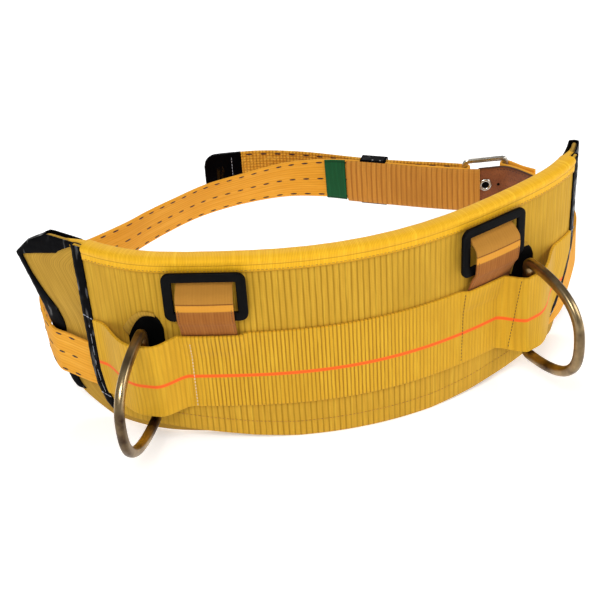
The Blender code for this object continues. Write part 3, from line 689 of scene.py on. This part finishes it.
def makeEndTape(name, side, levels, endAt, lipAt, faces, puff, nodes):
    def place(s, t):
        share = s if side > 0 else 1 - s
        height = levels[0] + (levels[1] - levels[0]) * t
        lip = lipAt(height)
        end = endAt(side, height)
        front, rear = faces(height)
        edge = 2.2 + puff(height)
        profile = [(-lip, front + 1.25), (-lip * 0.6, front + 1.5), (-1.0, front + 1.55),
                   (edge * 0.6, front + 0.9), (edge, (front + rear) / 2), (edge * 0.6, rear - 0.9),
                   (-1.0, rear - 1.55), (-lip * 0.6, rear - 1.5), (-lip, rear - 1.25)]
        spot = share * (len(profile) - 1)
        away, stand = pointOn(profile, spot)
        soft = 0.22 * ripple(height / 5.1, height / 9.7 + spot, height / 3.3)
        return wallAt(end + side * (away + soft), height, stand + soft), (spot * lip / 4, height)

    piece = clothPiece(name, 32, 70, place, endTapes)
    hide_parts(*nodes)


def makeEndTapes():
    def panelFaces(height):
        return 0.15, -2.75

    def padFaces(height):
        return padSeat(height) + 0.4, padSeat(height) - pad["thick"] - 0.5

    def capPuff(side, height):
        # the left cap stands fuller where the strap leaves the pad
        fuller = 6.5 * easeStep(1 - abs(height - 96) / 30) if side < 0 else 0.0
        return 1.2 * easeStep((height - 90) / 30) + fuller

    def capLip(height):
        return tableAt(endTapes["capLip"], height)

    for name, side, levels in (("left", -1, endTapes["leftLevels"]), ("right", 1, endTapes["rightLevels"])):
        makeEndTape(name + "PanelBinding", side, levels, panelEnd, lambda height: endTapes["panelLip"],
                    panelFaces, lambda height: 0.3, [name + "_panel_binding"])
        makeEndTape(name + "PadCap", side, endTapes["padLevels"], padEnd, capLip, padFaces,
                    lambda height: capPuff(side, height), [name + "_pad_cap"])

    def upright(side, away, stand):
        return lambda height: (wallAt(panelEnd(side, height) - side * away, height, stand),
                               wallFace(panelEnd(side, height)))

    # a pale line painted along the tape stands for its glossy highlight, and thread ends stand out where the
    # web is sewn in
    look = {"pitch": 13.0, "length": 12.6, "width": 0.45, "proud": 0.15, "finish": "greyThreadAndHighlight"}
    stitching("panelBindingHighlight", [(upright(-1, 4.2, 1.65), 34, 116), (upright(1, 4.2, 1.65), 100, 178)],
              look, "black_vinyl")
    look = {"pitch": 3.6, "length": 3.2, "width": 0.7, "proud": 0.3, "finish": "greyThreadAndHighlight"}
    for name, side, at in (("left", -1, 116), ("left", -1, 35), ("right", 1, 112), ("right", 1, 40)):
        def tack(away):
            return wallAt(panelEnd(side, at) - side * away, at - away * 0.25, 1.75), wallFace(0)

        stitching(name + "TackAt%d" % at, [(tack, -1, 9.5)], look, "black_vinyl")


# Metal fittings and what they hang from
sides = {
    "left": {"ring": -134.0, "dRing": -186.0, "swing": 0.0, "droop": 7.0, "stand": 14.0,
             "ramp": (46.0, 27.0), "plate": (-186.0, 20.0, 13.0)},
    "right": {"ring": 120.0, "dRing": 153.0, "swing": -8.0, "droop": 1.0, "stand": 16.5,
              "ramp": (20.0, 50.0), "plate": (158.5, 13.0, 15.0)},
}
dRing = {"halfBar": 47.5, "reach": 73.0, "roundness": 2.6, "section": (9.4, 8.2), "middle": 77.5,
         "corner": 6.0}
ring = {"size": (70.0, 47.0), "bar": 8.5, "thick": 3.6, "bottom": 130.0, "seat": 6.3}
loopFold = [              # height, stand
    (172.5, 1.2), (168, 1.3), (164, 3.0), (160.5, 7.0), (157.5, 10.8), (154.5, 12.9), (150, 13.6),
    (143, 13.4), (136, 12.8), (132, 12.2), (129.4, 10.9), (127, 9.1), (121, 6.1), (114.5, 3.4),
    (110, 1.9), (103, 1.25),
]
loop = {"width": 47.0, "thick": 1.8, "finish": "loop", "slot": "tan_webbing", "offset": 0.0}


def dRingOutline():
    fine = []
    for k in range(121):
        angle = -pi / 2 + pi * k / 120
        high = dRing["halfBar"] * abs(sin(angle)) ** (2 / dRing["roundness"])
        fine.append((dRing["reach"] * abs(cos(angle)) ** (2 / dRing["roundness"]),
                     high * (1 if angle > 0 else -1)))
    fine += [(0.0, dRing["halfBar"] * (1 - 2 * k / 60)) for k in range(1, 60)]
    closed = np.array(fine + [fine[0]])
    run = np.concatenate([[0], np.cumsum(np.linalg.norm(np.diff(closed, axis=0), axis=1))])
    marks = np.arange(0, run[-1], 0.5)
    even = np.stack([np.interp(marks, run, closed[:, axis]) for axis in (0, 1)], axis=1)
    reach = int(dRing["corner"] / 0.5)
    soft = sum(np.roll(even, shift, axis=0) for shift in range(-reach, reach + 1)) / (2 * reach + 1)
    return [tuple(point) for point in soft[::4]]


def makeRings():
    wide, high = ring["size"]
    bar = ring["bar"]
    for side, spec in sides.items():
        turn = headingAt(spec["dRing"]) - pi / 2 + radians(spec["swing"])
        level = Vector((cos(turn), sin(turn), 0))
        droop = radians(spec["droop"])
        reach = level * cos(droop) - Vector((0, 0, 1)) * sin(droop)
        barWay = level * sin(droop) + Vector((0, 0, 1)) * cos(droop)
        place = fittingPlace(wallAt(spec["dRing"], dRing["middle"], spec["stand"]), reach, barWay)
        piece = barFrame(side + "DRing", dRingOutline(), oval(*dRing["section"], 2.6, 24), "bronze",
                         "bronzed_steel", place, side + "_d")
        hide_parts(side + "_d_ring")
        turn = headingAt(spec["ring"])
        tangent = Vector((cos(turn), sin(turn), 0))
        lean = Vector((sin(turn) * wallShape["lean"], -cos(turn) * wallShape["lean"], 1))
        place = fittingPlace(wallAt(spec["ring"], ring["bottom"] + bar / 2, ring["seat"]), tangent, lean)
        piece = barFrame(side + "AccessoryRing", roundBox(wide - bar, 0, high - bar, 3.2, 8),
                         oval(bar, ring["thick"], 5.0, 28), "blackSteel", "black_steel", place,
                         side + "_accessory")
        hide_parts(side + "_ring")


def makeLoops():
    foldAt, long = profilePlace(loopFold[::-1], 1.0)
    for side, spec in sides.items():
        middle = spec["ring"]

        def place(s, t):
            height, stand = foldAt(t)
            sag = 0.35 * sin(pi * s) * easeStep((height - 110) / 20)
            return (wallAt(middle + loop["width"] * (s - 0.5), height, stand + sag),
                    (loop["width"] * s, t * long))

        piece = clothPiece(side + "RingLoop", 40, 76, place, loop)
        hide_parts(side + "_ring_loop")

        def upright(away):
            def spotAt(up):
                height, stand = foldAt(up / long)
                return wallAt(middle + away, height, stand + loop["thick"] / 2), wallFace(middle)
            return spotAt

        stitching(side + "RingLoopSeams", [(upright(away), 14, 46) for away in (-21.6, 21.6)],
                  {"pitch": 2.6, "length": 2.3, "width": 0.5, "proud": 0.25, "finish": "brownThread"},
                  "tan_webbing")


def makePlates():
    for side, spec in sides.items():
        middle, leftHalf, rightHalf = spec["plate"]

        def top(away):
            if away < 0:
                return 131.0 - 22.0 * (-away / leftHalf) ** 2
            return 131.0 - 13.0 * (away / rightHalf) ** 4

        def place(s, t):
            away = -leftHalf + (leftHalf + rightHalf) * s
            height = 42.0 + (top(away) - 42.0) * t
            return wallAt(middle + away, height, 1.9), (away, height)

        piece = clothPiece(side + "WearPlate", 30, 24, place,
                           {"finish": "plate", "slot": "black_vinyl", "thick": 1.6, "round": 0.5})
        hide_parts(side + "_wear_plate")

        def edgePlace(s, t):
            away = -leftHalf + (leftHalf + 7) * s
            broad = 3.4 + 3.6 * (1 - s)
            up = broad * (t - 0.3)
            point = wallAt(middle + away - up * (1 - s), top(away) + up, 1.2 + 1.5 * sin(pi * t))
            return point, (away, t * 6)

        clothPiece(side + "PlateEdge", 30, 8, edgePlace,
                   {"finish": "pad", "slot": "pad_fabric", "thick": 0.8, "round": 0.2})


# Wide web over the D-ring bars and the loops' ends
web = {"height": 76.0, "bottom": 37.5, "thick": 2.4, "ribPitch": 3.4, "ribDepth": 0.09, "pointsARib": 4,
       "rows": 30, "margin": 9.6, "finish": "web", "slot": "wide_webbing", "gap": 0.3,
       "window": (-165, -130, 10, 95), "columns": (-250.0, -200.0, 150.0, 232.0),
       "creamLine": (-151.0, -151.0), "darkLines": [(142.0, 136.0), (92.0, 90.0)]}


def webStand(along, height):
    lift = web["gap"]
    for side in sides.values():
        offLoop = abs(along - side["ring"]) - loop["width"] / 2
        nearTop = easeStep((height - 98.0) / 14.0)
        overEnds = easeStep((height - 90.0) / 8.0)
        lift = max(lift, web["gap"] + (2.1 + 2.6 * nearTop) * easeStep(1.0 - offLoop / 10.0) * overEnds)
        away = along - side["dRing"]
        ramp = side["ramp"][0 if away < 0 else 1]
        slope = tan(radians(side["droop"])) - wallShape["lean"]
        corner = 1.4 * (abs(height - dRing["middle"]) / 38.0) ** 6
        crest = side["stand"] + (height - dRing["middle"]) * slope + dRing["section"][0] / 2 + 0.75 + corner
        lift = max(lift, crest * easeStep(1.0 - (abs(away) - 5.5) / ramp))
    return lift


def makeWeb():
    # ribs stand upright between the middle two distances and fan out to the slanting ends
    first, nearLeft, nearRight, last = web["columns"]
    columns = int((last - first) / web["ribPitch"] * web["pointsARib"])

    def place(s, t):
        height = web["bottom"] + web["height"] * t
        left, right = panelEnd(-1, height) + web["margin"], panelEnd(1, height) - web["margin"]
        column = first + (last - first) * s
        along = float(np.interp(column, web["columns"], (left, nearLeft, nearRight, right)))
        fade = easeStep(min(t, 1 - t) * 25) * (0.3 + 0.7 * windowAt(web["window"], column))
        rib = -web["ribDepth"] * (cos(2 * pi * column / web["ribPitch"]) + 1) / 2 * fade
        return (wallAt(along, height, webStand(along, height) + web["thick"] + rib),
                (column, web["height"] * t))

    piece = clothPiece("wideWeb", columns, web["rows"], place, {**web, "round": 0.5})
    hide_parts("wide_web")

    def upright(low, high):
        # from the web's lower edge to its upper one, at these two distances
        def spotAt(up):
            along = high + (low - high) * up / web["height"]
            height = web["bottom"] + up
            return wallAt(along, height, webStand(along, height) + web["thick"] + 0.05), wallFace(along)
        return spotAt

    look = {"pitch": 3.4, "length": 2.7, "width": 1.0, "proud": 0.35}
    stitching("webCreamSeam", [(upright(*web["creamLine"]), 1, 70)], {**look, "finish": "creamThread"},
              "wide_webbing")
    stitching("webBrownSeams", [(upright(*ends), 3, 74) for ends in web["darkLines"]],
              {**look, "finish": "brownThread", "width": 0.7}, "wide_webbing")


# Waist strap: plan points with the lower edge's height and the upper edge's lean
strapBack = [
    (-251, -10, 45, 3), (-250, 12, 51, 3), (-241, 46, 55, 1), (-219, 76, 57.5, -3),
    (-190, 97, 56, -8), (-157, 113, 58, -11), (-136, 128, 58, -13), (-108, 145, 58, -15),
    (-66, 164, 58, -16), (-20, 172, 58, -16), (24, 169, 58, -11), (62, 152, 58, -5),
    (86, 135, 58, -1), (112, 117, 58, 0), (141, 97, 58, 0), (158, 86, 58, 0),
]
strapTail = [
    (158, 96, 58, 0), (138, 107, 58, 0), (112, 123, 58, 0), (84, 143, 58, 0), (44, 170, 58, -2),
    (8, 187, 59, -2), (-22, 196, 59, -2), (-51, 199, 60, -2),
]
strapSide = [(231, 50, 57, 0), (243, 28, 54, 0), (251, 0, 46, 0), (254, -24, 38, 0)]
strapDoubled = [(243, 44, 57, 0), (235, 55, 57, 0), (229, 64, 58, 0)]
strapLook = {"height": 44.5, "thick": 2.4, "seat": -5.9, "finish": "strap", "slot": "strap_webbing",
             "offset": 0.0, "tip": 37.0, "seams": (3.0, 22.0, 41.5)}
buckleShape = {"place": (202.0, 72.0), "heading": -12.0, "z": 80.0, "size": (46.0, 60.0), "bar": 5.0,
               "thick": 4.0, "turn": 4.6}
trim = {"sleeve": (82.0, 194.5), "tag": (63.0, 80.5), "keeper": (93.0, 114.0), "keeperWall": 1.5,
        "keeperDepth": 9.6}
leatherTab = {"lead": [(193.5, 69.6, 58, 0), (206, 67, 58, 0), (215, 65, 58, 0)], "endY": 6.0,
              "thick": 2.2, "eyeletZ": 84.0, "eyelet": (6.6, 3.4), "plainHole": ((13.0, -1.0), 1.5)}


def barTurn(share, start, end, count=10):
    turn = radians(buckleShape["heading"])
    reach = share * (buckleShape["size"][0] - buckleShape["bar"]) / 2
    x = buckleShape["place"][0] + reach * cos(turn)
    y = buckleShape["place"][1] + reach * sin(turn)
    angles = [turn + radians(start + (end - start) * k / count) for k in range(count + 1)]
    return [(x + buckleShape["turn"] * cos(a), y + buckleShape["turn"] * sin(a), 58.0, 0.0) for a in angles]


def insidePad():
    rows = []
    for along in [276, 264, 252] + list(range(240, -270, -14)) + [-270, -284, -297]:
        beyond = max(0.0, abs(along) - 250)
        low = 36.0 - 16.0 * easeStep(along / 200.0) + 3.0 * easeStep((-along - 255.0) / 45.0)
        point = wallAt(along, low, strapLook["seat"] + min(0.6, beyond * 0.05)) / mm
        rows.append((point.x, point.y, low, strapLook["height"] * wallShape["lean"]))
    return rows


def strapRoutes():
    hidden = insidePad()
    rightTurn, leftTurn = barTurn(1, 50, 262), barTurn(-1, -90, 90)
    doubled = smoothRows(strapDoubled + [rightTurn[0]], 3)
    side = smoothRows([rightTurn[-1]] + strapSide + hidden[:2], 3)
    inside = smoothRows(hidden[1:-1], 5)
    back = smoothRows(hidden[-2:] + strapBack + [leftTurn[0]], 3)
    tail = smoothRows([leftTurn[-1]] + strapTail, 3)
    return {"doubled": doubled[:-1], "rightTurn": np.array(rightTurn), "side": side[1:-4],
            "inside": inside, "back": back[4:-1], "leftTurn": np.array(leftTurn), "tail": tail[1:]}


def layRoute(rows):
    rows = np.array(rows, float)
    way = np.gradient(rows[:, :2], axis=0)
    way /= np.linalg.norm(way, axis=1)[:, None]
    run = np.concatenate([[0], np.cumsum(np.linalg.norm(np.diff(rows[:, :2], axis=0), axis=1))])
    return {"rows": np.hstack([rows, -way[:, 1:], way[:, :1]]), "run": run, "long": run[-1]}


def strapAt(route, at, up, away):
    # up from the lower edge and away from the middle, out of the loop
    x, y, low, lean, outX, outY = (float(np.interp(at, route["run"], route["rows"][:, k]))
                                   for k in range(6))
    share = up / strapLook["height"]
    out = away + lean * share
    rise = share * (strapLook["height"] ** 2 - lean ** 2) ** 0.5
    return Vector((x + outX * out, y + outY * out, low + rise - wallShape["lowered"])) * mm


def strapOut(route, at):
    return Vector((float(np.interp(at, route["run"], route["rows"][:, 4])),
                   float(np.interp(at, route["run"], route["rows"][:, 5])), 0))


def strapPiece(name, route, start, end, look, low=0.0, high=None, away=0.0, curl=0.0, nodes=()):
    high = strapLook["height"] if high is None else high
    columns = max(6, int((end - start) / look.get("cell", 3.0)))

    def place(s, t):
        at = start + (end - start) * s
        up = low + (high - low) * t
        cut = 0.0
        if look.get("tipRound"):
            into = max(0.0, 1 - (end - at) / look["tipRound"])
            cut = look["tipRound"] * (1 - (1 - into ** 2) ** 0.5)
            up = low + cut + (high - low - 2 * cut) * t
        lift = curl * (2 * abs(t - 0.5)) ** 8
        soft = look.get("wave", 0.25) * ripple(at / 31, at / 17 + 3 * t, at / 47)
        return strapAt(route, at, up, away + lift + soft), (at - start, up - low)

    piece = clothPiece(name, columns, look.get("rows", 14), place, look)
    if nodes:
        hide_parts(*nodes)
    return piece


def makeStrap():
    parts = strapRoutes()
    whole = layRoute(np.vstack(list(parts.values())))
    tailStart = whole["long"] - layRoute(parts["tail"])["long"]
    tipStart = whole["long"] - strapLook["tip"]
    bodyEnd = tailStart + 2
    body = strapPiece("waistStrap", whole, 0, bodyEnd, strapLook, nodes=["waist_strap"])
    tongue = strapPiece("strapTongue", whole, bodyEnd, tipStart, {**strapLook, "finish": "tongue"},
                        nodes=["waist_strap"])
    strapPiece("strapTip", whole, tipStart - 1.0, whole["long"],
               {**strapLook, "finish": "vinyl", "slot": "black_vinyl", "thick": 3.4, "tipRound": 13.0,
                "cell": 1.5, "round": 0.9}, nodes=["strap_tip"])

    def row(up, face):
        away = face * (strapLook["thick"] / 2 + 0.05)

        def spotAt(at):
            wave = 0.25 * ripple(at / 31, at / 17 + 3 * up / strapLook["height"], at / 47)
            return strapAt(whole, at, up, away + wave), strapOut(whole, at) * face

        return spotAt

    look = {"pitch": 14.5, "length": 6.8, "width": 2.0, "proud": 0.45, "finish": "brownThread"}
    backStart = tailStart - layRoute(parts["back"])["long"] - 12
    rows = [(row(up, face), backStart - 30, tailStart - 22)
            for up in strapLook["seams"] for face in (-1, 1)]
    sideStart = layRoute(parts["doubled"])["long"] + 26
    rows += [(row(up, 1), sideStart, sideStart + 90) for up in strapLook["seams"]]
    rows += [(row(up, 1), tailStart + 10, tipStart - 3) for up in strapLook["seams"][::2]]
    stitching("strapSeams", rows, look, "strap_webbing")

    def across(at, face):
        # up the strap's height at one place
        return lambda up: (strapAt(whole, at, up, face * 1.8), strapOut(whole, at) * face)

    stitching("strapTipSeam", [(across(tipStart + 9, face), 3, 42) for face in (-1, 1)],
              {**look, "pitch": 3.4, "length": 3.0, "width": 0.6, "finish": "greyThreadAndHighlight"}, "black_vinyl")
    return parts


def makeTrim(parts):
    line = [tuple(row) for row in parts["back"] if row[0] > 40 and row[1] > 60][:-1]
    end = line[-1]
    line += [(end[0] + step, end[1] - step * 0.42, end[2], 0.0) for step in range(3, 42, 3)]
    route = layRoute(line)
    xs = route["rows"][:, 0]

    def spanOf(span):
        return [float(np.interp(x, xs, route["run"])) for x in span]

    inner = -strapLook["thick"] / 2 - 0.3
    start, stop = spanOf(trim["sleeve"])
    look = {**strapLook, "finish": "sleeve", "slot": "tan_webbing", "thick": 1.5, "rows": 24, "cell": 2.0,
            "wave": 0.15}
    sleeve = strapPiece("strapSleeve", route, start, stop, look, -0.5, 45.0, inner - 4.1, 2.4,
                        ["strap_sleeve"])
    start, stop = spanOf(trim["tag"])
    look = {**strapLook, "finish": "tag", "slot": "green_label", "thick": 0.9, "cell": 1.5, "wave": 0.1}
    tag = strapPiece("sizeTag", route, start, stop, look, -0.5, 45.0, inner - 0.9, 0.4, ["size_tag"])
    start, stop = spanOf(trim["keeper"])
    wallThick = trim["keeperWall"]
    near, far = inner - 1.0 - wallThick / 2, trim["keeperDepth"] - wallThick / 2
    around = roundBox(far - near, -1.6, strapLook["height"] + 1.6, 1.6, 4)

    def place(s, t):
        spot = t * len(around)
        across, up = pointOn(around + around[:1], spot)
        return (strapAt(route, start + (stop - start) * s, up, across + (near + far) / 2),
                (s * 21, spot * 5))

    band = clothGrid(10, len(around), place)
    bmesh.ops.remove_doubles(band, verts=band.verts[:], dist=0.02 * mm)
    keeper = keepPiece("strapKeeper", band, "vinyl", "black_vinyl")
    wallMaker = keeper.modifiers.new("thickness", "SOLIDIFY")
    wallMaker.thickness = wallThick * mm
    wallMaker.offset = 0
    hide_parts("strap_keeper")


def makeBuckle():
    wide, high = buckleShape["size"]
    bar = buckleShape["bar"]
    turn = radians(buckleShape["heading"])
    origin = Vector((*buckleShape["place"], buckleShape["z"] - wallShape["lowered"])) * mm
    place = fittingPlace(origin, Vector((cos(turn), sin(turn), 0)), Vector((0, 0, 1)))
    piece = barFrame("buckleFrame", roundBox(wide - bar, bar / 2 - high / 2, high / 2 - bar / 2, 4.0, 8),
                     oval(bar, buckleShape["thick"], 2.5, 20), "bright", "bright_steel", place)
    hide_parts("buckle")


def makeLeather(parts):
    line = leatherTab["lead"] + [tuple(row) for row in np.vstack([parts["rightTurn"], parts["side"]])
                                 if row[1] > leatherTab["endY"] and row[0] > 219]
    line = [row for k, row in enumerate(line) if k < 3 or row[1] < 62]
    route = layRoute(smoothRows(line, 2.5))
    inward = -(strapLook["thick"] / 2 + 0.3 + leatherTab["thick"] / 2)
    look = {**strapLook, "finish": "leather", "slot": "brown_leather", "thick": leatherTab["thick"],
            "round": 0.7, "wave": 0.2}
    piece = strapPiece("leatherTab", route, 0, route["long"], look, away=inward, nodes=["leather_tab"])

    def row(up):
        return lambda at: (strapAt(route, at, up, inward - leatherTab["thick"] / 2), -strapOut(route, at))

    stitching("leatherSeam", [(row(up), 18, route["long"] - 3) for up in (3.2, 41.3)],
              {"pitch": 3.6, "length": 2.4, "width": 0.8, "proud": 0.3, "finish": "brownThread"},
              "brown_leather")
    outer, hole = leatherTab["eyelet"]
    rim = [(hole, 0.3), (hole + 0.2, 1.0), ((hole + outer) / 2, 1.5), (outer - 0.3, 0.9), (outer, 0.1)]
    bm = bmesh.new()
    chain = [bm.verts.new((x * mm, 0, z * mm)) for x, z in rim]
    for first, second in zip(chain, chain[1:]):
        bm.edges.new((first, second))
    bmesh.ops.spin(bm, geom=bm.verts[:] + bm.edges[:], cent=(0, 0, 0), axis=(0, 0, 1), angle=2 * pi,
                   steps=32, use_merge=True)
    bmesh.ops.remove_doubles(bm, verts=bm.verts[:], dist=0.01 * mm)
    bmesh.ops.recalc_face_normals(bm, faces=bm.faces[:])
    here, out = strapAt(route, 6.5, 0, inward - leatherTab["thick"] / 2), -strapOut(route, 6.5)
    here.z = (leatherTab["eyeletZ"] - wallShape["lowered"]) * mm
    place = fittingPlace(here, Vector((0, 0, 1)).cross(out), Vector((0, 0, 1)))
    bmesh.ops.transform(bm, verts=bm.verts[:], matrix=place)
    # painted shade: black discs where the punched hole inside the eyelet and a plain hole beside it would
    # show dark
    holeShade = bmesh.new()
    beside, size = leatherTab["plainHole"]
    for x, z, radius in ((0, 0, hole + 0.1), (*beside, size)):
        bmesh.ops.create_circle(holeShade, cap_ends=True, segments=24, radius=radius * mm,
                                matrix=place @ Matrix.Translation((x * mm, z * mm, 0.15 * mm)))
    keepPiece("leatherHoleShade", holeShade, "plate", "brown_leather")
    eyelet = keepPiece("eyelet", bm, "bright", "bright_steel")
    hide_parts("eyelet")
    shell = eyelet.modifiers.new("thickness", "SOLIDIFY")
    shell.thickness = 0.4 * mm


# Studio: pale floor, soft light and the camera at the photograph's angle
studio = {"turn": 15.5, "down": 32.0, "roll": -4.0, "target": (-0.0372, -0.0768, 0.010), "away": 1.5,
          "lens": 101.88, "floorDrop": 1.0, "world": 0.3, "lights": [    # place in metres, watts
              ("keyLight", (-0.9, -1.6, 1.9), 36), ("fillLight", (1.8, -1.0, 1.1), 18),
              ("backLight", (0.3, 1.9, 1.6), 22)]}


def areaLight(name, at, power):
    light = bpy.data.lights.new(name, "AREA")
    light.shape = "DISK"
    light.size = 1.2
    light.energy = power
    lamp = bpy.data.objects.new(name, light)
    lamp.location = at
    lamp.rotation_mode = "QUATERNION"
    lamp.rotation_quaternion = (Vector((0, 0, 0)) - Vector(at)).to_track_quat("-Z", "Y")
    scene.collection.objects.link(lamp)


def makeStudio():
    turn, down, roll = (radians(studio[key]) for key in ("turn", "down", "roll"))
    ahead = Vector((cos(down) * sin(turn), cos(down) * cos(turn), -sin(down)))
    right = Vector((cos(turn), -sin(turn), 0))
    up = right.cross(ahead)
    place = Matrix((right * cos(roll) + up * sin(roll), up * cos(roll) - right * sin(roll), -ahead))
    place = place.transposed().to_4x4()
    place.translation = Vector(studio["target"]) - ahead * studio["away"]
    camera = bpy.data.objects.new("camera", bpy.data.cameras.new("camera"))
    camera.data.sensor_width = 36
    camera.data.lens = studio["lens"]
    camera.matrix_world = place
    scene.collection.objects.link(camera)
    scene.camera = camera
    bm = bmesh.new()
    bmesh.ops.create_grid(bm, x_segments=2, y_segments=2, size=6.0)
    bmesh.ops.translate(bm, verts=bm.verts[:], vec=(0, 0, cadBox[0].z - studio["floorDrop"] * mm))
    mesh = bpy.data.meshes.new("floor")
    bm.to_mesh(mesh)
    bm.free()
    floor = bpy.data.objects.new("floor", mesh)
    # back-lit paper, so that it stays white under soft light
    paper = newFinish("paperBackdropMatt", {
        "Base Color": linearColour("#FAFAFA"), "Roughness": 0.9, "Emission Color": linearColour("#FFFFFF"),
        "Emission Strength": 0.4})[0]
    mesh.materials.append(paper)
    scene.collection.objects.link(floor)
    for lamp in studio["lights"]:
        areaLight(*lamp)
    world = bpy.data.worlds.new("studio")
    world.use_nodes = True
    sky = world.node_tree.nodes["Background"]
    sky.inputs["Color"].default_value = linearColour("#FFFFFF")
    sky.inputs["Strength"].default_value = studio["world"]
    scene.world = world
    scene.view_settings.view_transform = "Standard"


makeStudio()
print("studio ready")
makePanel()
makePad()
print("panel and pad ready")
makeTopTape()
makeTongues()
makeEndTapes()
print("bindings ready")
makeRings()
makeLoops()
makePlates()
makeWeb()
print("fittings and web ready")
strapParts = makeStrap()
makeTrim(strapParts)
makeBuckle()
makeLeather(strapParts)
print("strap ready")
